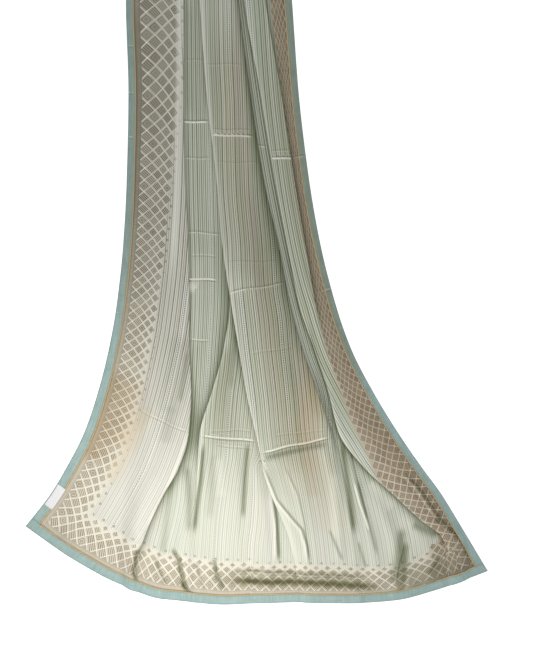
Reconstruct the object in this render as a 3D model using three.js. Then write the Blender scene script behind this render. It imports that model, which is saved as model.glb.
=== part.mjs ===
// A saree laid out on a flat surface: one length of cloth, pleated at the waist end and spread into a fan
// at the hem, with the rest of its length folded away in a stack at the waist end.
// Millimetres, +Z up. The hem lies towards -Y and the folded length towards +Y.
import * as THREE from "three";

// Sizes of the cloth.
const clothWall = 1.2; // one layer with its border threads
const seamGap = 0.3; // between pieces that meet
const layGap = 0.6; // under a piece that lies on the curved cloth
const edgingWidth = 18; // teal binding down both long edges
const hemEdgingWidth = 21; // the same binding, turned up along the hem
const trimWidth = 2.2; // gold braid on the seam of the binding
const trimWall = 1.0;
const labelLength = 56;
const labelWidth = 18;
const labelWall = 1.0;
const labelAlong = 62; // from the hem corner to the label's near end, along the left edge

// The pleated cloth from the hem up to the folded stack. Each row gives, at one height y above the lowest
// point of the hem, where the edges and the six folds lie from the centre line.
// foldL and foldDRight are folds whose upper layer is on the left, foldF, foldB and foldD on the right.
const planRows = [
  { y: 0, left: -695, foldL: -284, foldF: -157, foldB: 110, foldBRight: 247,
    foldD: 458, foldDRight: 482, right: 590 },
  { y: 80, left: -629, foldL: -284, foldF: -154, foldB: 99, foldBRight: 237,
    foldD: 456, foldDRight: 476, right: 541 },
  { y: 160, left: -563, foldL: -263, foldF: -150, foldB: 81, foldBRight: 228,
    foldD: 432, foldDRight: 452, right: 493 },
  { y: 200, left: -530, foldL: -247, foldF: -146, foldB: 66, foldBRight: 219,
    foldD: 383, foldDRight: 412, right: 469 },
  { y: 260, left: -484, foldL: -218, foldF: -142, foldB: 40, foldBRight: 204,
    foldD: 318, foldDRight: 366, right: 432 },
  { y: 320, left: -448, foldL: -184, foldF: -139, foldB: 17, foldBRight: 192,
    foldD: 253, foldDRight: 314, right: 388 },
  { y: 400, left: -407, foldL: -160, foldF: -134, foldB: -2, foldBRight: 175,
    foldD: 193, foldDRight: 262, right: 333 },
  { y: 500, left: -373, foldL: -154, foldF: -105, foldB: -25, foldBRight: 141,
    foldD: 167, foldDRight: 206, right: 272 },
  { y: 600, left: -348, foldL: -158, foldF: -78, foldB: -42, foldBRight: 106,
    foldD: 134, foldDRight: 164, right: 221 },
  { y: 700, left: -330, foldL: -159, foldF: -65, foldB: -59, foldBRight: 79,
    foldD: 100, foldDRight: 137, right: 186 },
  { y: 850, left: -314, foldL: -161, foldF: -71, foldB: -81, foldBRight: 49,
    foldD: 70, foldDRight: 111, right: 148 },
  { y: 1000, left: -306, foldL: -169, foldF: -84, foldB: -95, foldBRight: 15,
    foldD: 41, foldDRight: 86, right: 122 },
  { y: 1200, left: -302, foldL: -172, foldF: -106, foldB: -118, foldBRight: -16,
    foldD: 8, foldDRight: 55, right: 98 },
  { y: 1420, left: -308, foldL: -172, foldF: -122, foldB: -134, foldBRight: -45,
    foldD: -30, foldDRight: 18, right: 82 },
  { y: 1560, left: -308, foldL: -174, foldF: -130, foldB: -142, foldBRight: -56,
    foldD: -42, foldDRight: 4, right: 70 },
];

// One row for each place where a fold changes: the height y, the radius of its two turns, how far the cloth
// goes back under, and the angle of each turn. Under 90 degrees the fold is only a soft ridge.
const foldRows = {
  foldL: [
    { y: 0, radius: 24, depth: 6, turn: 24 },
    { y: 60, radius: 14, depth: 8, turn: 40 },
    { y: 110, radius: 6, depth: 8, turn: 75 },
    { y: 150, radius: 3.4, depth: 8, turn: 130 },
    { y: 186, radius: 3, depth: 14, turn: 180 },
    { y: 260, radius: 2.8, depth: 40, turn: 180 },
    { y: 400, radius: 2.6, depth: 72, turn: 180 },
    { y: 600, radius: 2.4, depth: 86, turn: 180 },
    { y: 1000, radius: 2.2, depth: 88, turn: 180 },
    { y: 1560, radius: 2.2, depth: 88, turn: 180 },
  ],
  foldF: [
    { y: 0, radius: 24, depth: 4, turn: 14 },
    { y: 100, radius: 18, depth: 6, turn: 28 },
    { y: 180, radius: 9, depth: 6, turn: 50 },
    { y: 226, radius: 5, depth: 6, turn: 90 },
    { y: 300, radius: 3.2, depth: 10, turn: 160 },
    { y: 400, radius: 2.8, depth: 16, turn: 180 },
    { y: 560, radius: 2.4, depth: 24, turn: 180 },
    { y: 720, radius: 2.4, depth: 20, turn: 180 },
    { y: 820, radius: 3, depth: 10, turn: 100 },
    { y: 900, radius: 8, depth: 5, turn: 40 },
    { y: 1000, radius: 20, depth: 2, turn: 8 },
    { y: 1560, radius: 20, depth: 2, turn: 8 },
  ],
  foldB: [
    { y: 0, radius: 26, depth: 6, turn: 16 },
    { y: 120, radius: 20, depth: 8, turn: 26 },
    { y: 230, radius: 14, depth: 8, turn: 40 },
    { y: 320, radius: 7, depth: 8, turn: 70 },
    { y: 360, radius: 3.4, depth: 8, turn: 140 },
    { y: 420, radius: 2.8, depth: 18, turn: 180 },
    { y: 560, radius: 2.4, depth: 34, turn: 180 },
    { y: 800, radius: 2.2, depth: 44, turn: 180 },
    { y: 1200, radius: 2.2, depth: 38, turn: 180 },
    { y: 1560, radius: 2.2, depth: 34, turn: 180 },
  ],
  foldBRight: [
    { y: 0, radius: 26, depth: 5, turn: 12 },
    { y: 150, radius: 22, depth: 6, turn: 22 },
    { y: 300, radius: 16, depth: 8, turn: 34 },
    { y: 400, radius: 8, depth: 8, turn: 60 },
    { y: 470, radius: 3.6, depth: 8, turn: 130 },
    { y: 560, radius: 3, depth: 20, turn: 180 },
    { y: 760, radius: 2.4, depth: 38, turn: 180 },
    { y: 1000, radius: 2.2, depth: 38, turn: 180 },
    { y: 1560, radius: 2.2, depth: 34, turn: 180 },
  ],
  foldD: [
    { y: 0, radius: 20, depth: 5, turn: 12 },
    { y: 80, radius: 14, depth: 8, turn: 35 },
    { y: 130, radius: 6, depth: 8, turn: 80 },
    { y: 165, radius: 3.2, depth: 10, turn: 170 },
    { y: 230, radius: 3, depth: 40, turn: 180 },
    { y: 320, radius: 2.8, depth: 70, turn: 180 },
    { y: 420, radius: 2.6, depth: 78, turn: 180 },
    { y: 600, radius: 2.4, depth: 56, turn: 180 },
    { y: 1000, radius: 2.2, depth: 52, turn: 180 },
    { y: 1200, radius: 2.2, depth: 58, turn: 180 },
    { y: 1560, radius: 2.2, depth: 70, turn: 180 },
  ],
  foldDRight: [
    { y: 0, radius: 24, depth: 3, turn: 6 },
    { y: 300, radius: 24, depth: 3, turn: 6 },
    { y: 560, radius: 16, depth: 4, turn: 14 },
    { y: 660, radius: 7, depth: 5, turn: 50 },
    { y: 720, radius: 3, depth: 6, turn: 110 },
    { y: 800, radius: 2.4, depth: 8, turn: 170 },
    { y: 900, radius: 2.2, depth: 12, turn: 180 },
    { y: 1200, radius: 2.2, depth: 18, turn: 180 },
    { y: 1560, radius: 2.2, depth: 18, turn: 180 },
  ],
};

// One row for each section across the cloth, a distance along the cloth from the hem: the heights of its two
// ends, and how much of the hem's curve it has.
const sectionRows = [
  { along: 0, leftY: 183, rightY: 78, sag: 1 },
  { along: 371, leftY: 505, rightY: 390, sag: 0.55 },
  { along: 705, leftY: 837, rightY: 686, sag: 0.15 },
  { along: 1057, leftY: 1189, rightY: 1029, sag: 0 },
  { along: 1276, leftY: 1419, rightY: 1248, sag: 0 },
  { along: 1402, leftY: 1545, rightY: 1545, sag: 0 },
];
const clothEnd = 1402; // where the laid cloth goes into the stack
const stackFrontY = 1545;
// How far the hem hangs below the straight line between its corners, at tenths of its width.
const hemDrop = [0, 65, 113, 140, 140, 128, 115, 107, 90, 51, 0];
// Sections of the solids, closer together where folds open.
const sectionAlong = [70, 115, 160, 205, 255, 310, 371, 440, 520, 610, 705, 820, 940, 1057, 1165, 1276, 1340];

// The folded stack.
const stackWidth = 404;
const stackDepth = 300;
const stackLayers = 13;
const stackHeight = 52;
const stackPlainHeight = 22; // the laid cloth meets this part of the front
const stackBulge = 5; // each folded edge stands out of the seam below it
const stackCorner = 14;
const stackSegments = 3; // in each round corner

const degree = Math.PI / 180;

// A smooth curve through a table's rows that never overshoots them.
function smoothTable(rows, key, column) {
  const slopes = rows.map((row, i) => {
    const before = rows[i - 1];
    const after = rows[i + 1];
    if (!before || !after) return 0;
    const a = (row[column] - before[column]) / (row[key] - before[key]);
    const b = (after[column] - row[column]) / (after[key] - row[key]);
    return a * b > 0 ? (2 * a * b) / (a + b) : 0;
  });
  const ends = [0, rows.length - 1];
  for (const i of ends) {
    const j = i ? i - 1 : 1;
    slopes[i] = (rows[i][column] - rows[j][column]) / (rows[i][key] - rows[j][key]);
  }
  return (x) => {
    let i = 0;
    while (i < rows.length - 2 && x > rows[i + 1][key]) i++;
    const span = rows[i + 1][key] - rows[i][key];
    const u = THREE.MathUtils.clamp((x - rows[i][key]) / span, 0, 1);
    const u2 = u * u;
    const u3 = u2 * u;
    return (
      (2 * u3 - 3 * u2 + 1) * rows[i][column] +
      (u3 - 2 * u2 + u) * span * slopes[i] +
      (3 * u2 - 2 * u3) * rows[i + 1][column] +
      (u3 - u2) * span * slopes[i + 1]
    );
  };
}

const plan = {};
for (const name of ["left", "foldL", "foldF", "foldB", "foldBRight", "foldD", "foldDRight", "right"]) {
  plan[name] = smoothTable(planRows, "y", name);
}
const shape = {};
for (const [name, rows] of Object.entries(foldRows)) {
  shape[name] = {
    radius: smoothTable(rows, "y", "radius"),
    depth: smoothTable(rows, "y", "depth"),
    turn: smoothTable(rows, "y", "turn"),
  };
}
const sectionLeftY = smoothTable(sectionRows, "along", "leftY");
const sectionRightY = smoothTable(sectionRows, "along", "rightY");
const sectionSag = smoothTable(sectionRows, "along", "sag");
const dropRows = hemDrop.map((drop, i) => ({ share: i / (hemDrop.length - 1), drop }));
const dropAt = smoothTable(dropRows, "share", "drop");

// The line of one section in plan: share 0 is the left edge and 1 the right edge.
function sectionLine(along) {
  const leftY = sectionLeftY(along);
  const rightY = sectionRightY(along);
  const leftX = plan.left(leftY);
  const rightX = plan.right(rightY);
  const sag = sectionSag(along);
  const at = (share) => [
    THREE.MathUtils.lerp(leftX, rightX, share),
    THREE.MathUtils.lerp(leftY, rightY, share) - sag * dropAt(THREE.MathUtils.clamp(share, 0, 1)),
  ];
  // Where a fold crosses the section, and the fold's height there.
  const cross = (name) => {
    let share = 0.5;
    let y = 0;
    for (let i = 0; i < 12; i++) {
      y = at(share)[1];
      share = (plan[name](y) - leftX) / (rightX - leftX);
    }
    return { share, y };
  };
  return { at, cross, width: rightX - leftX };
}

// One fold in section: it starts on the upper layer, goes round the visible edge, back under, round the
// hidden edge and on along the lower layer. Each point is its offsets from the visible edge and the lower
// layer, and the angle at which the cloth climbs there.
function foldCurve(name, y, upperOnLeft) {
  const radius = shape[name].radius(y);
  const depth = shape[name].depth(y);
  const turn = shape[name].turn(y) * degree;
  const arc = radius * turn;
  const length = 2 * arc + depth;
  const sin = Math.sin(turn);
  const cos = Math.cos(turn);
  const height = 2 * radius * (1 - cos) + depth * sin;
  const start = turn < Math.PI / 2 ? -(radius * sin + (depth * cos) / 2) : -radius;
  const end = start + 2 * radius * sin + depth * cos;
  const down = (q) => {
    if (q <= arc) {
      const drop = radius * (1 - Math.cos(q / radius));
      return [start + radius * Math.sin(q / radius), height - drop, -q / radius];
    }
    if (q <= arc + depth) {
      const along = q - arc;
      return [start + radius * sin + along * cos, height - radius * (1 - cos) - along * sin, -turn];
    }
    const left = (length - q) / radius;
    return [end - radius * Math.sin(left), radius * (1 - Math.cos(left)), -left];
  };
  const stops = [0, 0.25, 0.5, 0.75, 1].map((u) => u * arc);
  const hidden = [arc + depth * 0.5, arc + depth, arc + depth + arc * 0.25];
  const cut = arc + depth + arc / 2;
  const upper = [...stops, ...hidden, cut - seamGap / 2].map(down);
  const lower = [cut + seamGap / 2, arc + depth + arc * 0.75, length].map(down);
  if (upperOnLeft) return { height, first: upper, second: lower, upperEnd: start, lowerEnd: end };
  const mirror = (points) => points.map(([r, z, climb]) => [-r, z, -climb]).reverse();
  return { height, first: mirror(lower), second: mirror(upper), upperEnd: -start, lowerEnd: -end };
}

const ease = (u) => u * u * (3 - 2 * u);

// Points of a run between two places, at shares of its length. The height changes only inside the window.
function run(from, to, window, shares) {
  const open = Math.min(Math.max(window[0], Math.min(from[0], to[0])), to[0] - 1);
  const close = Math.max(Math.min(window[1], to[0]), open + 1);
  return shares.map((share) => {
    const r = THREE.MathUtils.lerp(from[0], to[0], share);
    const u = THREE.MathUtils.clamp((r - open) / (close - open), 0, 1);
    const climb = Math.atan(((to[1] - from[1]) * 6 * u * (1 - u)) / (close - open));
    return [r, THREE.MathUtils.lerp(from[1], to[1], ease(u)), climb];
  });
}

const even = (count) => Array.from({ length: count }, (_, i) => (i + 1) / (count + 1));

// The whole section at one distance along the cloth: for each stretch, from left to right, its points on the
// middle of the wall and the direction across the cloth there.
function section(along) {
  const line = sectionLine(along);
  const fold = {};
  for (const name of Object.keys(foldRows)) {
    const crossing = line.cross(name);
    const upperOnLeft = name === "foldL" || name === "foldBRight" || name === "foldDRight";
    fold[name] = { at: crossing.share * line.width, ...foldCurve(name, crossing.y, upperOnLeft) };
  }
  const { foldL, foldF, foldB, foldBRight, foldD, foldDRight } = fold;
  const level = {
    foldL: 0,
    foldF: 0,
    foldB: foldF.height,
    foldBRight: 0,
    foldD: 0,
    foldDRight: foldD.height,
  };
  const placed = (name, points) => points.map(([r, z, climb]) => [fold[name].at + r, level[name] + z, climb]);
  const upperStart = (name) => [fold[name].at + fold[name].upperEnd, level[name] + fold[name].height];
  const lowerStart = (name) => [fold[name].at + fold[name].lowerEnd, level[name]];
  const hiddenF = lowerStart("foldF")[0];
  const hiddenD = lowerStart("foldD")[0];
  const width = line.width;

  const leftTop = upperStart("foldL");
  const leftWindow = [lowerStart("foldL")[0] - 50, lowerStart("foldL")[0] - 5];
  const leftRun = (shares) => run([0, 0], leftTop, leftWindow, shares);
  const shareOf = (r) => r / leftTop[0];
  const rightFoot = lowerStart("foldDRight");
  const rightWindow = [hiddenD + 4, Math.min(hiddenD + 55, width - 3)];
  const rightRun = (shares) => run(rightFoot, [width, 0], rightWindow, shares);
  const rightShare = (r) => (width - r - rightFoot[0]) / (width - rightFoot[0]);

  const bWindow = [Math.max(lowerStart("foldB")[0], hiddenF) + 4, lowerStart("foldBRight")[0] - 4];
  const dWindow = [upperStart("foldD")[0], lowerStart("foldDRight")[0] - 3];
  const panelStart = edgingWidth + seamGap;
  const trimStart = edgingWidth + seamGap / 2 - trimWidth / 2;
  const trimEnd = trimStart + trimWidth;
  const flat = [-1e3, 1e3];
  const stretches = {
    edging_left: leftRun([0, trimStart, edgingWidth].map(shareOf)),
    panel_left: [
      ...leftRun(
        [panelStart, ...[0, ...even(5)].map((u) => trimEnd + (leftTop[0] - trimEnd) * u)].map(shareOf),
      ),
      ...placed("foldL", foldL.first),
    ],
    pleat_inset_left: [
      ...placed("foldL", foldL.second),
      ...run(lowerStart("foldL"), lowerStart("foldF"), flat, even(3)),
      ...placed("foldF", foldF.first),
    ],
    pleat_lower: [
      ...placed("foldF", foldF.second),
      ...run(upperStart("foldF"), lowerStart("foldB"), flat, even(2)),
      ...placed("foldB", foldB.first),
    ],
    pleat_main: [
      ...placed("foldB", foldB.second),
      ...run(upperStart("foldB"), upperStart("foldBRight"), bWindow, even(5)),
      ...placed("foldBRight", foldBRight.first),
    ],
    pleat_inset_right: [
      ...placed("foldBRight", foldBRight.second),
      ...run(lowerStart("foldBRight"), lowerStart("foldD"), flat, even(2)),
      ...placed("foldD", foldD.first),
    ],
    pleat_right: [
      ...placed("foldD", foldD.second),
      ...run(upperStart("foldD"), upperStart("foldDRight"), dWindow, even(3)),
      ...placed("foldDRight", foldDRight.first),
    ],
    panel_right: [
      ...placed("foldDRight", foldDRight.second),
      ...rightRun(
        [...even(5).map((u) => u * rightShare(trimEnd)), rightShare(trimEnd), rightShare(panelStart)],
      ),
    ],
    edging_right: rightRun([edgingWidth, trimStart, 0].map(rightShare)),
    trim_left: leftRun([trimStart, trimEnd].map(shareOf)),
    trim_right: rightRun([trimEnd, trimStart].map(rightShare)),
    label: leftRun([0, 0.5, 1].map((u) => shareOf(2 + u * labelWidth))),
  };
  for (const [name, points] of Object.entries(stretches)) {
    stretches[name] = points.map(([r, z, climb]) => {
      const middle = new THREE.Vector3(...line.at(r / width), z + clothWall / 2);
      const ahead = new THREE.Vector3(...line.at(r / width + 0.002), middle.z).sub(middle).normalize();
      const across = ahead.multiplyScalar(Math.cos(climb)).setZ(Math.sin(climb));
      return { middle, across };
    });
  }
  return stretches;
}

// A closed wall of the given thickness round a grid of middle points, with its middle lifted off the grid.
function wallGeometry(grid, thickness, lift = 0) {
  const rows = grid.length;
  const columns = grid[0].length;
  const positions = [];
  for (const side of [1, -1]) {
    for (let i = 0; i < rows; i++) {
      for (let j = 0; j < columns; j++) {
        const { middle, across } = grid[i][j];
        const up = grid[Math.min(i + 1, rows - 1)][j].middle.clone().sub(grid[Math.max(i - 1, 0)][j].middle);
        const normal = across.clone().cross(up).normalize();
        const point = middle.clone().addScaledVector(normal, lift + (side * thickness) / 2);
        positions.push(point.x, point.y, Math.max(point.z, 0));
      }
    }
  }
  const index = [];
  const under = rows * columns;
  const quad = (a, b, c, d) => index.push(a, b, c, a, c, d);
  for (let i = 0; i < rows - 1; i++) {
    for (let j = 0; j < columns - 1; j++) {
      const a = i * columns + j;
      quad(a, a + 1, a + columns + 1, a + columns);
      quad(under + a, under + a + columns, under + a + columns + 1, under + a + 1);
    }
  }
  for (let j = 0; j < columns - 1; j++) {
    const top = (rows - 1) * columns + j;
    quad(j, under + j, under + j + 1, j + 1);
    quad(top, top + 1, under + top + 1, under + top);
  }
  for (let i = 0; i < rows - 1; i++) {
    const left = i * columns;
    const right = left + columns - 1;
    quad(left, left + columns, under + left + columns, under + left);
    quad(right, under + right, under + right + columns, right + columns);
  }
  const geometry = new THREE.BufferGeometry();
  geometry.setAttribute("position", new THREE.Float32BufferAttribute(positions, 3));
  geometry.setIndex(index);
  geometry.computeVertexNormals();
  return geometry;
}

// The stack's outline at one level: a rectangle with round corners, its sides set in or out by an inset.
function stackRing(inset, frontInset, z) {
  const centreX = (plan.left(stackFrontY) + plan.right(stackFrontY)) / 2;
  const halfWidth = stackWidth / 2 - inset;
  const front = stackFrontY + seamGap + frontInset;
  const back = stackFrontY + stackDepth - inset;
  const radius = stackCorner;
  const corners = [
    [centreX + halfWidth - radius, front + radius, -90],
    [centreX + halfWidth - radius, back - radius, 0],
    [centreX - halfWidth + radius, back - radius, 90],
    [centreX - halfWidth + radius, front + radius, 180],
  ];
  return corners.flatMap(([x, y, from]) =>
    Array.from({ length: stackSegments + 1 }, (_, k) => {
      const angle = (from + (90 * k) / stackSegments) * degree;
      return new THREE.Vector3(x + radius * Math.cos(angle), y + radius * Math.sin(angle), z);
    }),
  );
}

// The folded length: layers that show as rounded folds at the edges, uneven by a few millimetres.
function stackGeometry() {
  const rings = [stackRing(stackBulge, 0, 0)];
  const layerHeight = stackHeight / stackLayers;
  for (let layer = 0; layer < stackLayers; layer++) {
    const low = layer * layerHeight;
    const uneven = 1.8 * Math.sin(layer * 2.4) + 1.2 * Math.sin(layer * 4.1 + 1);
    const plain = low + layerHeight <= stackPlainHeight;
    const out = stackBulge - 3 + uneven * 0.6;
    rings.push(stackRing(out, plain ? 0 : -4 + uneven, low + layerHeight * 0.3));
    rings.push(stackRing(out, plain ? 0 : -4 + uneven, low + layerHeight * 0.7));
    rings.push(stackRing(stackBulge + 1, plain ? 0 : 1, low + layerHeight));
  }
  rings.push(stackRing(stackBulge + 12, 12, stackHeight + 1.5));
  const positions = rings.flat().flatMap((p) => [p.x, p.y, p.z]);
  const around = rings[0].length;
  const index = [];
  for (let i = 0; i < rings.length - 1; i++) {
    for (let j = 0; j < around; j++) {
      const next = (j + 1) % around;
      const a = i * around;
      index.push(a + j, a + next, a + around + next, a + j, a + around + next, a + around + j);
    }
  }
  const last = (rings.length - 1) * around;
  for (let j = 1; j < around - 1; j++) {
    index.push(0, j + 1, j);
    index.push(last, last + j, last + j + 1);
  }
  const geometry = new THREE.BufferGeometry();
  geometry.setAttribute("position", new THREE.Float32BufferAttribute(positions, 3));
  geometry.setIndex(index);
  geometry.computeVertexNormals();
  return geometry;
}

const finish = {
  sage: { color: 0xcfcdb9, roughness: 0.55 },
  border: { color: 0xb9b39c, roughness: 0.55 },
  teal: { color: 0x9db8b1, roughness: 0.45 },
  gold: { color: 0xc9a463, roughness: 0.4 },
  white: { color: 0xe9e9e2, roughness: 0.7 },
};

const group = new THREE.Group();
function addPiece(name, geometry, look) {
  const mesh = new THREE.Mesh(geometry, new THREE.MeshStandardMaterial({ metalness: 0, ...finish[look] }));
  mesh.name = name;
  group.add(mesh);
}

// The stretches of the cloth that show, from the hem's binding to the stack.
const panelSections = [hemEdgingWidth + seamGap, ...sectionAlong, clothEnd].map(section);
const stretchLooks = {
  edging_left: "teal",
  panel_left: "border",
  pleat_inset_left: "sage",
  pleat_lower: "sage",
  pleat_main: "sage",
  pleat_inset_right: "sage",
  pleat_right: "sage",
  panel_right: "border",
  edging_right: "teal",
};
for (const [name, look] of Object.entries(stretchLooks)) {
  addPiece(name, wallGeometry(panelSections.map((row) => row[name]), clothWall), look);
}

// The binding along the hem runs the whole width, under the ends of the two side bindings.
const hemSections = [0, hemEdgingWidth / 2, hemEdgingWidth].map(section);
const hemRow = (row) => Object.keys(stretchLooks).flatMap((name) => row[name]);
addPiece("edging_hem", wallGeometry(hemSections.map(hemRow), clothWall), "teal");

// Gold braid lies on the seams of the binding.
const onTop = clothWall / 2 + layGap;
for (const name of ["trim_left", "trim_right"]) {
  const sections = [hemEdgingWidth + trimWidth + seamGap, ...sectionAlong, clothEnd].map(section);
  const strip = sections.map((row) => row[name]);
  addPiece(`gold_${name}`, wallGeometry(strip, trimWall, onTop + trimWall / 2), "gold");
}
// Along the hem it stops at the seams of the side bindings.
const hemTrimSections = [hemEdgingWidth - trimWidth / 2, hemEdgingWidth + trimWidth / 2].map(section);
const hemStrip = hemTrimSections.map((row) => hemRow(row).slice(1, -1));
addPiece("gold_trim_hem", wallGeometry(hemStrip, trimWall, onTop + trimWall / 2), "gold");

// The sewn label lies across the left binding, a little way up from the hem corner.
const labelSections = [0, 0.25, 0.5, 0.75, 1].map((u) => section(labelAlong + u * labelLength));
const labelLift = onTop + trimWall + layGap + labelWall / 2;
addPiece("label", wallGeometry(labelSections.map((row) => row.label), labelWall, labelLift), "white");

addPiece("folded_length", stackGeometry(), "sage");

// The origin is below the middle of the whole piece, on the surface that it lies on.
const box = new THREE.Box3().setFromObject(group);
const centre = box.getCenter(new THREE.Vector3());
group.position.set(-centre.x, -centre.y, -box.min.z);

export default group;
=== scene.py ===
import math

import bpy
import numpy as np
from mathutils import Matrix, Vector


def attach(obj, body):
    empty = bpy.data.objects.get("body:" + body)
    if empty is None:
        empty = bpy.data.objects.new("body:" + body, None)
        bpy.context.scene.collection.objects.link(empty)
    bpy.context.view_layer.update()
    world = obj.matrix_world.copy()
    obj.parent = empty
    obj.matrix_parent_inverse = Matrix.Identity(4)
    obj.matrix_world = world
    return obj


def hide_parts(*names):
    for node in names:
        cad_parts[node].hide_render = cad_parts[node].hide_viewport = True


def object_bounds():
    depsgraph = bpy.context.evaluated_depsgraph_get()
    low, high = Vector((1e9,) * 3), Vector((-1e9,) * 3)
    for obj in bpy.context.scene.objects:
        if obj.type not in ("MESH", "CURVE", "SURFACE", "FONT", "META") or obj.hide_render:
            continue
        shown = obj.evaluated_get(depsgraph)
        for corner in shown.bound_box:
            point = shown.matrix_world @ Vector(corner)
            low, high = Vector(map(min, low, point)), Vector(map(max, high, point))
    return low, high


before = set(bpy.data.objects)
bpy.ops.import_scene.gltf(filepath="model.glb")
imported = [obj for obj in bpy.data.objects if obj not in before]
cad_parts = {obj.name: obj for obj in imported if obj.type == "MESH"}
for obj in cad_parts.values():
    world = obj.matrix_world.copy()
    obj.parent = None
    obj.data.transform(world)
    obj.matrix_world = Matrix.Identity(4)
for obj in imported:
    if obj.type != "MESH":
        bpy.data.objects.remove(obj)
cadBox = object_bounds()
print("saree: frame loaded")

mm = 0.001

# The cloth, in millimetres. Positions are from the centre line and from the lowest point of the hem.
cloth = {
    "width": 1150.0,
    "wall": 0.7,
    "middle": 0.6,  # height of the cloth's middle over the surface
    "edging": 18.0,
    "hemEdging": 21.0,
    "seam": 0.3,
    "binding": 1.0,  # wall of the binding
    "rowStep": 4.4,
    "end": 1402.0,  # along the left edge, where the folded length starts
}

# Where the side edges and the folds run: their places across at each height over the hem.
planNames = ("y", "left", "foldL", "foldF", "foldB", "foldBRight", "foldD", "foldDRight", "right")
planRows = (
    (0, -695, -284, -157, 110, 247, 458, 482, 590),
    (80, -629, -284, -154, 99, 237, 456, 476, 541),
    (160, -563, -263, -150, 81, 228, 432, 452, 493),
    (200, -530, -247, -146, 66, 219, 383, 412, 469),
    (260, -484, -218, -142, 40, 204, 318, 366, 432),
    (320, -448, -184, -139, 17, 192, 253, 314, 388),
    (400, -407, -160, -134, -2, 175, 193, 262, 333),
    (500, -373, -154, -105, -25, 141, 167, 206, 272),
    (600, -348, -158, -78, -42, 106, 134, 164, 221),
    (700, -330, -159, -65, -59, 79, 100, 137, 186),
    (850, -314, -161, -71, -81, 49, 70, 111, 148),
    (1000, -306, -169, -84, -95, 15, 41, 86, 122),
    (1200, -302, -172, -106, -118, -16, 8, 55, 98),
    (1420, -308, -172, -122, -134, -45, -30, 18, 82),
    (1560, -308, -174, -130, -142, -56, -42, 4, 70),
)

# Height, radius of both turns, depth of cloth under the fold, and the angle of each turn in degrees.
foldNames = ("y", "radius", "depth", "turn")
foldRows = {
    "foldL": (
        (0, 24, 6, 24), (60, 14, 8, 40), (110, 6, 8, 75), (150, 3.4, 8, 130), (186, 3, 14, 180),
        (260, 2.8, 40, 180), (400, 2.6, 72, 180), (600, 2.4, 86, 180), (1000, 2.2, 88, 180),
        (1560, 2.2, 88, 180),
    ),
    "foldF": (
        (0, 24, 4, 14), (100, 18, 6, 28), (180, 9, 6, 50), (226, 5, 6, 90), (300, 3.2, 10, 160),
        (400, 2.8, 16, 180), (560, 2.4, 24, 180), (720, 2.4, 20, 180), (820, 3, 10, 100), (900, 8, 5, 40),
        (1000, 20, 2, 8), (1560, 20, 2, 8),
    ),
    "foldB": (
        (0, 26, 6, 16), (120, 20, 8, 26), (230, 14, 8, 40), (320, 7, 8, 70), (360, 3.4, 8, 140),
        (420, 2.8, 18, 180), (560, 2.4, 34, 180), (800, 2.2, 44, 180), (1200, 2.2, 38, 180),
        (1560, 2.2, 34, 180),
    ),
    "foldBRight": (
        (0, 26, 5, 12), (150, 22, 6, 22), (300, 16, 8, 34), (400, 8, 8, 60), (470, 3.6, 8, 130),
        (560, 3, 20, 180), (760, 2.4, 38, 180), (1000, 2.2, 38, 180), (1560, 2.2, 34, 180),
    ),
    "foldD": (
        (0, 20, 5, 12), (80, 14, 8, 35), (130, 6, 8, 80), (165, 3.2, 10, 170), (230, 3, 40, 180),
        (320, 2.8, 70, 180), (420, 2.6, 78, 180), (600, 2.4, 56, 180), (1000, 2.2, 52, 180),
        (1200, 2.2, 58, 180), (1560, 2.2, 70, 180),
    ),
    "foldDRight": (
        (0, 24, 3, 6), (300, 24, 3, 6), (560, 16, 4, 14), (660, 7, 5, 50), (720, 3, 6, 110),
        (800, 2.4, 8, 170), (900, 2.2, 12, 180), (1200, 2.2, 18, 180), (1560, 2.2, 18, 180),
    ),
}
upperOnLeft = ("foldL", "foldBRight", "foldDRight")

# Distance along the left edge, the heights of the section's ends, its share of the hem's curve, and the
# distance along the right edge.
sectionNames = ("along", "leftY", "rightY", "sag", "rightAlong")
sectionRows = (
    (0, 183, 78, 1, 0),
    (371, 505, 390, 0.55, 371),
    (705, 837, 686, 0.15, 705),
    (1057, 1189, 1029, 0, 1057),
    (1276, 1419, 1248, 0, 1276),
    (1402, 1545, 1545, 0, 1575),
)
# How far the hem hangs under the straight line between its ends, at each tenth of the way.
hemDrop = (0, 65, 113, 140, 140, 128, 115, 107, 90, 51, 0)


# A curve through one column that never overshoots its rows.
def smoothTable(rows, names, column):
    x = np.array([row[0] for row in rows], float)
    y = np.array([row[names.index(column)] for row in rows], float)
    rise = np.diff(y) / np.diff(x)
    slope = np.zeros(len(x))
    slope[0], slope[-1] = rise[0], rise[-1]
    for i in range(1, len(x) - 1):
        a, b = rise[i - 1], rise[i]
        slope[i] = 2 * a * b / (a + b) if a * b > 0 else 0.0

    def at(value):
        i = np.clip(np.searchsorted(x, value, side="right") - 1, 0, len(x) - 2)
        span = x[i + 1] - x[i]
        u = np.clip((value - x[i]) / span, 0, 1)
        return (
            (2 * u**3 - 3 * u**2 + 1) * y[i]
            + (u**3 - 2 * u**2 + u) * span * slope[i]
            + (3 * u**2 - 2 * u**3) * y[i + 1]
            + (u**3 - u**2) * span * slope[i + 1]
        )

    return at


plan = {name: smoothTable(planRows, planNames, name) for name in planNames[1:]}
shape = {
    fold: {name: smoothTable(rows, foldNames, name) for name in foldNames[1:]}
    for fold, rows in foldRows.items()
}
sections = {name: smoothTable(sectionRows, sectionNames, name) for name in sectionNames[1:]}
dropAt = smoothTable([(i / 10, drop) for i, drop in enumerate(hemDrop)], ("share", "drop"), "drop")

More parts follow.
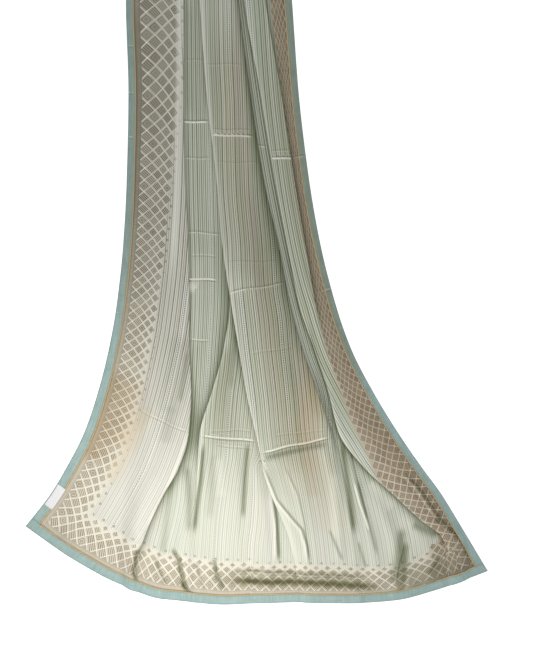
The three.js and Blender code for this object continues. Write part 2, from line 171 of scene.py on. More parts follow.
# The plan's origin in the frame, from the hem's left end and its lowest point.
hemLeftY, hemRightY = sectionRows[0][1:3]
hemShares = np.linspace(0, 1, 201)
hemLow = float((hemLeftY + (hemRightY - hemLeftY) * hemShares - dropAt(hemShares)).min())
shiftX = cadBox[0][0] - float(plan["left"](hemLeftY)) * mm
shiftY = cadBox[0][1] - hemLow * mm


def ease(u):
    u = np.clip(u, 0, 1)
    return u * u * (3 - 2 * u)


# One line across the cloth, at a distance along its left edge.
class Section:
    def __init__(self, along):
        self.leftY = float(sections["leftY"](along))
        self.rightY = float(sections["rightY"](along))
        self.leftX = float(plan["left"](self.leftY))
        self.rightX = float(plan["right"](self.rightY))
        self.sag = float(sections["sag"](along))
        self.width = self.rightX - self.leftX

    def at(self, share):
        x = self.leftX + self.width * share
        y = self.leftY + (self.rightY - self.leftY) * share - self.sag * dropAt(np.clip(share, 0, 1))
        return x, y

    # Where the section crosses a fold: the distance from its left end, and the height.
    def cross(self, fold):
        share = 0.5
        for _ in range(12):
            y = self.at(share)[1]
            share = (float(plan[fold](y)) - self.leftX) / self.width
        return share * self.width, float(y)


# Points round each part of a fold.
foldCounts = {"visible": 12, "under": 5, "hidden": 5}


# Points (across, up, climb, length) of one fold, from its upper layer round and under to its lower one.
def foldCurve(fold, y):
    radius, depth = float(shape[fold]["radius"](y)), float(shape[fold]["depth"](y))
    turn = math.radians(float(shape[fold]["turn"](y)))
    arc = radius * turn
    length = 2 * arc + depth
    sin, cos = math.sin(turn), math.cos(turn)
    height = 2 * radius * (1 - cos) + depth * sin
    start = -(radius * sin + depth * cos / 2) if turn < math.pi / 2 else -radius
    end = start + 2 * radius * sin + depth * cos
    cut = arc + depth + arc / 2

    def down(q):
        q = np.asarray(q, float)
        first, last = q <= arc, q > arc + depth
        along, left = q - arc, (length - q) / radius
        across = np.where(
            first, start + radius * np.sin(q / radius),
            np.where(last, end - radius * np.sin(left), start + radius * sin + along * cos),
        )
        up = np.where(
            first, height - radius * (1 - np.cos(q / radius)),
            np.where(last, radius * (1 - np.cos(left)), height - radius * (1 - cos) - along * sin),
        )
        climb = np.where(first, -q / radius, np.where(last, -left, -turn))
        return np.stack([across, up, climb, q], 1)

    half = cloth["seam"] / 2
    upper = down(
        np.concatenate([
            np.linspace(0, arc, foldCounts["visible"]),
            arc + depth * np.linspace(0, 1, foldCounts["under"] + 1)[1:],
            np.linspace(arc + depth, cut - half, foldCounts["hidden"])[1:],
        ])
    )
    lower = down(np.linspace(cut + half, length, foldCounts["hidden"]))
    sizes = {"height": height, "length": length, "turn": math.degrees(turn)}
    if fold in upperOnLeft:
        return {**sizes, "first": upper, "second": lower, "upperEnd": start, "lowerEnd": end}

    def mirror(points):
        points = points[::-1].copy()
        points[:, 0] *= -1
        points[:, 2] *= -1
        points[:, 3] = length - points[:, 3]
        return points

    return {**sizes, "first": mirror(lower), "second": mirror(upper), "upperEnd": -start, "lowerEnd": -end}


# Points of a run at the places given across the section; its height changes inside the window.
def run(start, stop, window, places):
    places = np.asarray(places, float)
    opened = min(max(window[0], min(start[0], stop[0])), stop[0] - 1)
    closed = max(min(window[1], stop[0]), opened + 1)
    u = np.clip((places - opened) / (closed - opened), 0, 1)
    up = start[1] + (stop[1] - start[1]) * ease(u)
    climb = np.arctan((stop[1] - start[1]) * 6 * u * (1 - u) / (closed - opened))
    return np.stack([places, up, climb, places - start[0]], 1)


def between(start, stop, count):
    return start + (stop - start) * np.arange(1, count + 1) / (count + 1)


braid = {"width": 1.8, "wall": 0.7, "lift": 1.15, "crown": 0.35, "columns": 5}
label = {"width": 18.0, "length": 56.0, "along": 62.0, "fromEdge": 2.0, "wall": 0.7, "lift": 2.6}

stretchOrder = (
    "panel_left", "pleat_inset_left", "pleat_lower", "pleat_main", "pleat_inset_right", "pleat_right",
    "panel_right",
)
# Columns in the open run of each stretch.
runCounts = {
    "panel_left": 92, "pleat_inset_left": 40, "pleat_lower": 62, "pleat_main": 62,
    "pleat_inset_right": 58, "pleat_right": 40, "panel_right": 44,
}
bindingColumns = 7

# Where some stripes of the field run: how far from the cloth's left edge, then (height, place) in plan.
stripeLines = {
    "insetA": (383, (
        (0, -200), (80, -191), (139, -181), (183, -169), (244, -157), (291, -153), (409, -138),
        (583, -128), (744, -122), (973, -127), (1250, -131), (1560, -133),
    )),
    "lowerA": (483, (
        (0, -104), (80, -102), (139, -99), (188, -96), (256, -87), (301, -80), (348, -72), (407, -69),
        (493, -62), (552, -54), (597, -50), (700, -42), (900, -36), (1200, -44), (1560, -52),
    )),
    "lowerB": (564, (
        (0, -27), (139, -22), (188, -16), (242, -12), (300, -7), (407, 8), (493, 17), (597, 29),
        (900, 45), (1560, 29),
    )),
    "mainA": (645, (
        (0, 52), (80, 47), (169, 38), (227, 30), (301, 16), (352, 5), (420, -3), (465, -7), (538, -16),
        (618, -26), (773, -41), (832, -43), (973, -54), (1043, -56), (1161, -58), (1278, -63), (1560, -68),
    )),
    "mainB": (726, (
        (0, 135), (80, 129), (169, 119), (227, 110), (301, 96), (352, 86), (407, 78), (479, 72),
        (538, 66), (603, 59), (667, 54), (744, 43), (832, 38), (973, 26), (1278, 18), (1560, 13),
    )),
    "insetC": (807, (
        (0, 228), (115, 214), (150, 207), (203, 195), (244, 189), (315, 175), (385, 165), (480, 157),
        (600, 120), (800, 69), (1000, 28), (1200, -4), (1560, -49),
    )),
    "insetD": (888, (
        (0, 298), (144, 280), (188, 270), (244, 256), (315, 236), (385, 222), (480, 218), (600, 190),
        (1560, 32),
    )),
}
stretchStripes = {
    "pleat_inset_left": ("insetA", "lowerA"), "pleat_lower": ("lowerA", "lowerB"),
    "pleat_main": ("mainA", "mainB"), "pleat_inset_right": ("insetC", "insetD"),
}
stripePlace = {name: smoothTable(rows, ("y", "x"), "x") for name, (_, rows) in stripeLines.items()}
# Each fold, with the stretches on its left and on its right.
folds = (
    ("foldL", "panel_left", "pleat_inset_left"), ("foldF", "pleat_inset_left", "pleat_lower"),
    ("foldB", "pleat_lower", "pleat_main"), ("foldBRight", "pleat_main", "pleat_inset_right"),
    ("foldD", "pleat_inset_right", "pleat_right"), ("foldDRight", "pleat_right", "panel_right"),
)


# Distance from the cloth's left edge, at a place in plan on one of the inner stretches.
def stripeAt(name, x, y):
    first, second = stretchStripes[name]
    s0, s1 = stripeLines[first][0], stripeLines[second][0]
    x0, x1 = stripePlace[first](y), stripePlace[second](y)
    inside = s0 + (s1 - s0) * (x - x0) / (x1 - x0)
    return np.where(x < x0, s0 + x - x0, np.where(x > x1, s1 + x - x1, inside))


# Direction in plan of a side edge, upwards.
def edgeUp(column, y):
    slope = float(plan[column](y + 4) - plan[column](y - 4)) / 8
    size = math.hypot(slope, 1)
    return slope / size, 1 / size


# The stretches at one section, each as rows of x, y, z, direction across, weft, warp and place.
def sectionPoints(along):
    line = Section(along)
    width, edging = line.width, cloth["edging"]
    fold = {}
    for name in foldRows:
        place, y = line.cross(name)
        fold[name] = dict(foldCurve(name, y), at=place, y=y)
    level = dict.fromkeys(foldRows, 0.0)
    level["foldB"] = fold["foldF"]["height"]
    level["foldDRight"] = fold["foldD"]["height"]

    def top(name):
        return fold[name]["at"] + fold[name]["upperEnd"], level[name] + fold[name]["height"]

    def foot(name):
        return fold[name]["at"] + fold[name]["lowerEnd"], level[name]

    leftTop, rightFoot = top("foldL"), foot("foldDRight")
    leftWindow = (foot("foldL")[0] - 50, foot("foldL")[0] - 5)
    rightWindow = (foot("foldD")[0] + 4, min(foot("foldD")[0] + 55, width - 3))
    bWindow = (max(foot("foldB")[0], foot("foldF")[0]) + 4, foot("foldBRight")[0] - 4)
    dWindow = (top("foldD")[0], foot("foldDRight")[0] - 3)
    flat = (-1e3, 1e3)

    leftUp, rightUp = edgeUp("left", line.leftY), edgeUp("right", line.rightY)

    # Plan position, and distances from each side edge and along it.
    def fromSides(places):
        x, y = line.at(np.asarray(places, float) / width)
        dx, dy = x - line.leftX, y - line.leftY
        ex, ey = line.rightX - x, line.rightY - y
        return {
            "x": x, "y": y,
            "left": dx * leftUp[1] - dy * leftUp[0],
            "leftAlong": dx * leftUp[0] + dy * leftUp[1],
            "right": ex * rightUp[1] - ey * rightUp[0],
            "rightAlong": -ex * rightUp[0] - ey * rightUp[1],
        }

    seamLeft, seamRight = fromSides(edging)["left"], fromSides(width - edging)["right"]

    def weftOf(name, places):
        at = fromSides(places)
        if name == "edging_left":
            return at["left"] * edging / seamLeft
        if name == "panel_left":
            return at["left"] - seamLeft + edging
        if name == "edging_right":
            return cloth["width"] - at["right"] * edging / seamRight
        if name in ("pleat_right", "panel_right"):
            return cloth["width"] - (at["right"] - seamRight + edging)
        return stripeAt(name, at["x"], at["y"])

    parts = {name: [] for name in ("edging_left", *stretchOrder, "edging_right")}

    def addRun(name, start, stop, window, places):
        points = run(start, stop, window, places)
        points[:, 3] = weftOf(name, points[:, 0])
        parts[name].append(points)

    panelStart = edging + cloth["seam"]
    count = runCounts
    leftSteps = np.arange(count["panel_left"]) / count["panel_left"]
    rightSteps = np.arange(1, count["panel_right"] + 1) / count["panel_right"]
    leftSide, rightSide = ((0, 0), leftTop, leftWindow), (rightFoot, (width, 0), rightWindow)
    addRun("edging_left", *leftSide, np.linspace(0, edging, bindingColumns))
    addRun("panel_left", *leftSide, panelStart + (leftTop[0] - panelStart) * leftSteps)
    for name, start, stop, window in (
        ("pleat_inset_left", foot("foldL"), foot("foldF"), flat),
        ("pleat_lower", top("foldF"), foot("foldB"), flat),
        ("pleat_main", top("foldB"), top("foldBRight"), bWindow),
        ("pleat_inset_right", foot("foldBRight"), foot("foldD"), flat),
        ("pleat_right", top("foldD"), top("foldDRight"), dWindow),
    ):
        addRun(name, start, stop, window, between(start[0], stop[0], count[name]))
    addRun("panel_right", *rightSide, rightFoot[0] + (width - panelStart - rightFoot[0]) * rightSteps)
    addRun("edging_right", *rightSide, np.linspace(width - edging, width, bindingColumns))
    braidStart = edging + cloth["seam"] / 2 - braid["width"] / 2
    braidPlaces = braidStart + np.linspace(0, braid["width"], braid["columns"])
    labelPlaces = np.linspace(label["fromEdge"], label["fromEdge"] + label["width"], 11)
    for name, side, edge, places in (
        ("braid_left", leftSide, "left", braidPlaces),
        ("braid_right", rightSide, "right", width - braidPlaces[::-1]),
        ("label", leftSide, "left", labelPlaces),
    ):
        points = run(*side, places)
        points[:, 3] = fromSides(points[:, 0])[edge]
        parts[name] = [points]

    # The folds go in between their stretches. An open fold shares the stripes' slack with the runs beside it.
    for name, before, after in folds:
        here = fold[name]
        ends = (top(name)[0], foot(name)[0]) if name in upperOnLeft else (foot(name)[0], top(name)[0])
        low, high = float(weftOf(before, ends[0])), float(weftOf(after, ends[1]))
        openness = 1 - float(ease((here["turn"] - 60) / 80))
        share = openness * (high - low - here["length"]) / 3
        for stretch, end, sign, part in ((before, ends[0], 1, "first"), (after, ends[1], -1, "second")):
            runPoints = next(p for p in parts[stretch] if p.shape[0] == count[stretch])
            near = np.clip(1 - np.abs(runPoints[:, 0] - end) / 45, 0, 1)
            runPoints[:, 3] += sign * share * near**2
            points = here[part].copy()
            stretchedWeft = low + share + points[:, 3] / here["length"] * (high - low - 2 * share)
            plainWeft = low + points[:, 3] if part == "first" else high - here["length"] + points[:, 3]
            points[:, 3] = openness * stretchedWeft + (1 - openness) * plainWeft
            points[:, 0] += here["at"]
            points[:, 1] += level[name]
            parts[stretch].append(points) if part == "first" else parts[stretch].insert(0, points)

    out = {"edges": {name: fold[name]["at"] for name in fold}}
    rightAlong = float(sections["rightAlong"](along))
    for name, pieces in parts.items():
        points = np.concatenate(pieces)
        share = points[:, 0] / width
        at = fromSides(points[:, 0])
        x2, y2 = line.at(share + 0.002)
        step = np.hypot(x2 - at["x"], y2 - at["y"])
        cosine = np.cos(points[:, 2])
        across = np.stack(
            [(x2 - at["x"]) / step * cosine, (y2 - at["y"]) / step * cosine, np.sin(points[:, 2])], 1
        )
        rise = ease(along / 250)
        left = along + at["leftAlong"] * rise * ease((300 - at["left"]) / 150)
        right = rightAlong + at["rightAlong"] * rise * ease((300 - at["right"]) / 150)
        warp = left + (right - left) * ease(share)
        z = points[:, 1] + cloth["middle"]
        out[name] = np.column_stack([at["x"], at["y"], z, across, points[:, 3], warp, points[:, 0]])
    return out


# The woven motifs shrink towards the waist on the right and grow on the left: their size across and along,
# where 1 is their size at the hem.
motifNames = ("along", "left", "leftAlong", "rightAcross", "rightAlong")
motifRows = (
    (0, 1.0, 0.98, 1.0, 0.9), (250, 1.0, 0.9, 0.95, 0.82), (300, 0.99, 0.88, 0.9, 0.8),
    (390, 0.97, 0.86, 0.7, 0.77), (465, 0.95, 0.86, 0.62, 0.76), (530, 0.93, 0.86, 0.5, 0.74),
    (600, 0.92, 0.87, 0.42, 0.73), (765, 0.98, 0.95, 0.27, 0.8), (900, 1.06, 1.04, 0.2, 0.9),
    (1100, 1.22, 1.21, 0.19, 1.0), (1310, 1.31, 1.31, 0.27, 1.0), (1420, 1.33, 1.33, 0.34, 1.0),
)
motif = {name: smoothTable(motifRows, motifNames, name) for name in motifNames[1:]}
# The diamonds' columns come closer together away from the braid: distance from the braid, column.
columnRows = ((0, -1.45), (8.5, -1), (23.5, 0), (39, 1), (52.5, 2), (64.5, 3), (75.5, 4), (89, 5))
columnPitch = 13.628  # past the last row


def columnAt(distance):
    places, columns = np.array(columnRows).T
    inside = np.interp(distance, places, columns)
    return np.where(distance > places[-1], columns[-1] + (distance - places[-1]) / columnPitch, inside)


# How far along the pattern is at each distance along the cloth, the folded length included.
motifEnd = motifRows[-1][0]
warpSteps = np.linspace(-200, 6000, 3101)
reached = {}
for name in ("leftAlong", "rightAlong"):
    step = 1 / motif[name](np.clip(warpSteps, 0, motifEnd))
    total = np.concatenate([[0], np.cumsum((step[1:] + step[:-1]) / 2 * np.diff(warpSteps))])
    reached[name] = total - np.interp(0, warpSteps, total)

rowCount = int((cloth["end"] - cloth["hemEdging"]) / cloth["rowStep"])
rowAlong = np.linspace(cloth["hemEdging"] + cloth["seam"], cloth["end"], rowCount)
allRows = [sectionPoints(along) for along in rowAlong]
hemRows = [sectionPoints(along) for along in np.linspace(0, cloth["hemEdging"], bindingColumns)]
print("saree: sections worked out,", rowCount, "rows")


# The points of one piece, row by row, and where the edge of each fold is in each row.
def gridOf(rows, name):
    edges = {fold: np.array([row["edges"][fold] for row in rows])[:, None] for fold in foldRows}
    return np.stack([row[name] for row in rows]), edges


# Groups of stretches that a crease, a roll or a line of painted shade can be on together.
groups = {
    "hem": stretchOrder,
    "right": ("pleat_right", "panel_right"),
    "rightEdge": ("edging_right", "panel_right"),
    "middle": ("pleat_main", "pleat_inset_right", "pleat_lower"),
}


def table(names, rows):
    return [dict(zip(names, row)) for row in rows]


def isOn(name, row):
    return name in groups.get(row["on"], (row["on"],))


# Press creases and small folds: the stretch, the line in plan from the centre line and the hem, the height,
# the half width, and how strong the painted highlight on the crest and the painted shade beside it are: more
# than 0 with the shade to the hem.
creaseNames = ("on", "line", "lift", "half", "creaseShading")
creaseRows = (
    ("pleat_inset_left", ((-178, 1134), (-112, 1131)), 1.2, 3.2, -1.0),
    ("pleat_inset_left", ((-176, 1047), (-108, 1046)), 0.6, 3.0, -0.45),
    ("pleat_inset_left", ((-174, 1276), (-120, 1275)), 0.4, 3.0, -0.3),
    ("pleat_inset_left", ((-168, 873), (-84, 868)), 0.8, 2.8, -0.5),
    ("pleat_inset_left", ((-158, 821), (-92, 819)), 0.6, 2.8, 0.45),
    ("pleat_inset_left", ((-170, 765), (-92, 761)), 1.4, 3.2, 0.9),
    ("pleat_inset_left", ((-160, 623), (-114, 621)), 0.6, 3.0, 0.6),
    ("pleat_main", ((-112, 1099), (-60, 1099), (-4, 1094)), 1.4, 3.2, -1.0),
    ("pleat_main", ((-112, 1111), (-10, 1109)), 0.4, 2.6, -0.35),
    ("pleat_main", ((-102, 1034), (8, 1033)), 0.4, 3.0, -0.25),
    ("pleat_main", ((-124, 1264), (-28, 1262)), 0.4, 3.0, -0.3),
    ("pleat_main", ((-72, 729), (-20, 738), (68, 753)), 1.0, 3.2, -0.6),
    ("pleat_main", ((-70, 799), (50, 803)), 0.4, 3.0, -0.25),
    ("pleat_main", ((-16, 590), (92, 608)), 0.5, 3.0, 0.3),
    ("pleat_main", ((8, 360), (82, 376), (172, 393)), 2.6, 5.0, 1.0),
    ("pleat_main", ((30, 398), (110, 408), (168, 412)), 0.7, 3.2, 0.3),
    ("pleat_inset_right", ((-18, 1077), (22, 1074)), 0.8, 3.0, -0.6),
    ("pleat_right", ((30, 1047), (92, 1042)), 1.0, 3.0, -1.0),
    ("pleat_right", ((30, 1062), (86, 1059)), 0.4, 2.6, -0.4),
    ("pleat_lower", ((-134, 397), (-70, 392), (2, 384)), 1.5, 3.4, 0.9),
    ("pleat_lower", ((-100, 379), (-40, 371), (-6, 366)), 0.6, 3.0, 0.4),
    ("pleat_lower", ((-120, 410), (-50, 412), (-4, 407)), 0.6, 3.0, 0.35),
    ("panel_left", ((-286, 467), (-251, 446), (-202, 423), (-157, 407)), 1.2, 3.6, 0.45),
    ("panel_left", ((-300, 860), (-190, 812)), 0.4, 3.4, 0.15),
    ("hem", ((-200, 134), (-183, 108), (-174, 63), (-164, 30)), 3.0, 5.0, 0.6),
    ("hem", ((-102, 113), (-96, 74), (-78, 34)), 2.0, 4.5, -0.5),
    ("hem", ((-60, 74), (-5, 78), (54, 74), (141, 71), (275, 62)), 2.4, 5.0, 0.5),
    ("hem", ((345, 150), (330, 100), (322, 44)), 2.5, 5.0, -0.6),
    ("hem", ((468, 152), (436, 108), (408, 78)), 2.5, 5.0, 0.5),
    ("pleat_lower", ((30, 262), (42, 180), (44, 98)), 2.4, 5.0, -0.45),
    ("pleat_main", ((60, 330), (92, 260), (108, 190), (118, 90)), 2.0, 4.0, -0.45),
    ("pleat_inset_right", ((226, 290), (240, 238), (266, 165)), 2.5, 4.5, 0.7),
    ("edging_left", ((-307, 1203), (-286, 1201)), 0.6, 3.0, 0.5),
    ("edging_left", ((-307, 1097), (-286, 1095)), 0.6, 3.0, 0.45),
    ("edging_left", ((-307, 1314), (-286, 1311)), 0.6, 3.0, 0.4),
    ("edging_left", ((-345, 690), (-322, 684)), 0.6, 3.0, 0.3),
    ("rightEdge", ((84, 1044), (113, 1052)), 1.2, 3.4, -0.6),
    ("rightEdge", ((150, 734), (178, 742)), 1.2, 3.4, 0.6),
    ("edging_right", ((90, 860), (140, 868)), 0.6, 3.4, 0.3),
)
creases = table(creaseNames, creaseRows)

# Soft rolls of the cloth: the stretch, the line in plan, the height and the half width.
rollNames = ("on", "line", "lift", "half")
rollRows = (
    ("panel_left", ((-188, 1560), (-186, 1100), (-178, 860), (-172, 640), (-170, 420)), 3.0, 9.0),
    ("panel_left", ((-164, 628), (-176, 586), (-196, 540), (-230, 470), (-270, 400)), 4.0, 14.0),
    ("panel_left", ((-236, 330), (-262, 240), (-300, 150), (-330, 60)), 4.0, 20.0),
    ("panel_left", ((-420, 300), (-430, 210), (-470, 130)), 3.0, 22.0),
    ("pleat_inset_left", ((-186, 300), (-214, 190), (-226, 60)), 4.0, 11.0),
    ("pleat_inset_left", ((-160, 320), (-180, 180), (-190, 40)), 3.0, 9.0),
    ("pleat_inset_left", ((-166, 744), (-138, 735)), 1.6, 9.0),
    ("pleat_inset_left", ((-112, 900), (-106, 760), (-112, 650)), 1.5, 9.0),
    ("pleat_lower", ((-112, 640), (-118, 420), (-112, 240), (-104, 60)), 3.0, 15.0),
    ("pleat_lower", ((-60, 430), (-46, 300), (-48, 180), (-40, 30)), 4.0, 13.0),
    ("pleat_lower", ((-8, 350), (10, 250), (22, 150), (30, 20)), 4.0, 12.0),
    ("pleat_main", ((150, 390), (176, 300), (190, 200), (200, 80)), 4.0, 12.0),
    ("pleat_inset_right", ((206, 360), (240, 260), (268, 150), (290, 30)), 4.0, 11.0),
    ("pleat_inset_right", ((262, 270), (310, 180), (342, 90), (352, 30)), 6.0, 15.0),
    ("pleat_inset_right", ((340, 220), (392, 150), (410, 90), (404, 30)), 5.0, 14.0),
    ("middle", ((-60, 62), (60, 66), (200, 70), (330, 62)), 4.5, 12.0),
    ("pleat_right", ((232, 340), (300, 262), (380, 206), (430, 168)), 3.0, 9.0),
)
rolls = table(rollNames, rollRows)

# Painted shade in the valleys beside the fold edges and painted highlights on their rims: the fold, its side,
# then height in plan, amount (less than 0 is a painted highlight) and width.
edgeShading = {
    "pleat_inset_left": (
        ("foldL", 1, (
            (80, 0.2, 8), (150, 0.6, 9), (280, 0.9, 11), (370, 1.0, 18), (440, 0.95, 18), (520, 0.6, 8),
            (600, 0.3, 5), (700, 0.1, 3), (1560, 0.1, 3),
        )),
        ("foldF", -1, (
            (300, 0.0, 8), (380, 0.8, 9), (450, 0.8, 12), (550, 0.8, 14), (650, 0.8, 15), (740, 0.7, 14),
            (830, 0.4, 12), (950, 0.2, 10), (1560, 0.2, 8),
        )),
    ),
    "pleat_lower": (
        ("foldF", 1, (
            (60, 0.0, 5), (300, -0.25, 5), (400, -0.4, 6), (700, -0.4, 6), (800, 0.0, 5), (1560, 0.0, 5),
        )),
        ("foldB", -1, (
            (60, 0.2, 9), (110, 0.35, 9), (220, 0.4, 9), (270, 0.6, 10), (330, 0.4, 8), (480, 0.4, 7),
            (620, 0.9, 12), (800, 0.95, 14), (880, 0.5, 8), (1000, 0.3, 6), (1560, 0.3, 5),
        )),
    ),
    "pleat_main": (
        ("foldB", 1, (
            (60, 0.0, 5), (120, -0.35, 5), (320, -0.45, 5), (500, -0.4, 5), (900, -0.5, 6),
            (1560, -0.75, 8),
        )),
        ("foldBRight", -1, (
            (300, 0.0, 12), (380, 0.1, 14), (500, 0.5, 22), (600, 0.65, 22), (700, 0.75, 20),
            (830, 1.0, 26), (900, 1.0, 24), (1000, 1.0, 16), (1150, 1.0, 11), (1300, 0.8, 9),
            (1560, 0.6, 9),
        )),
    ),
    "pleat_inset_right": (
        ("foldBRight", 1, (
            (300, 0.0, 6), (380, -0.2, 6), (440, -0.3, 6), (700, -0.5, 7), (900, -0.4, 7),
            (1000, -0.1, 6), (1150, 0.5, 6), (1250, 0.5, 6), (1560, 0.4, 6),
        )),
        ("foldD", -1, (
            (120, 0.0, 8), (165, 0.7, 8), (250, 0.95, 10), (380, 0.95, 9), (450, 0.9, 7), (650, 0.85, 8),
            (850, 0.75, 9), (1000, 0.7, 8), (1200, 0.5, 6), (1560, 0.5, 5),
        )),
    ),
    "pleat_right": (
        ("foldD", 1, (
            (120, 0.0, 5), (200, -0.2, 5), (600, -0.35, 5), (1560, -0.4, 5),
        )),
    ),
    "panel_right": (
        ("foldDRight", 1, (
            (500, 0.0, 6), (700, 0.5, 6), (900, 0.6, 6), (1560, 0.6, 7),
        )),
    ),
}
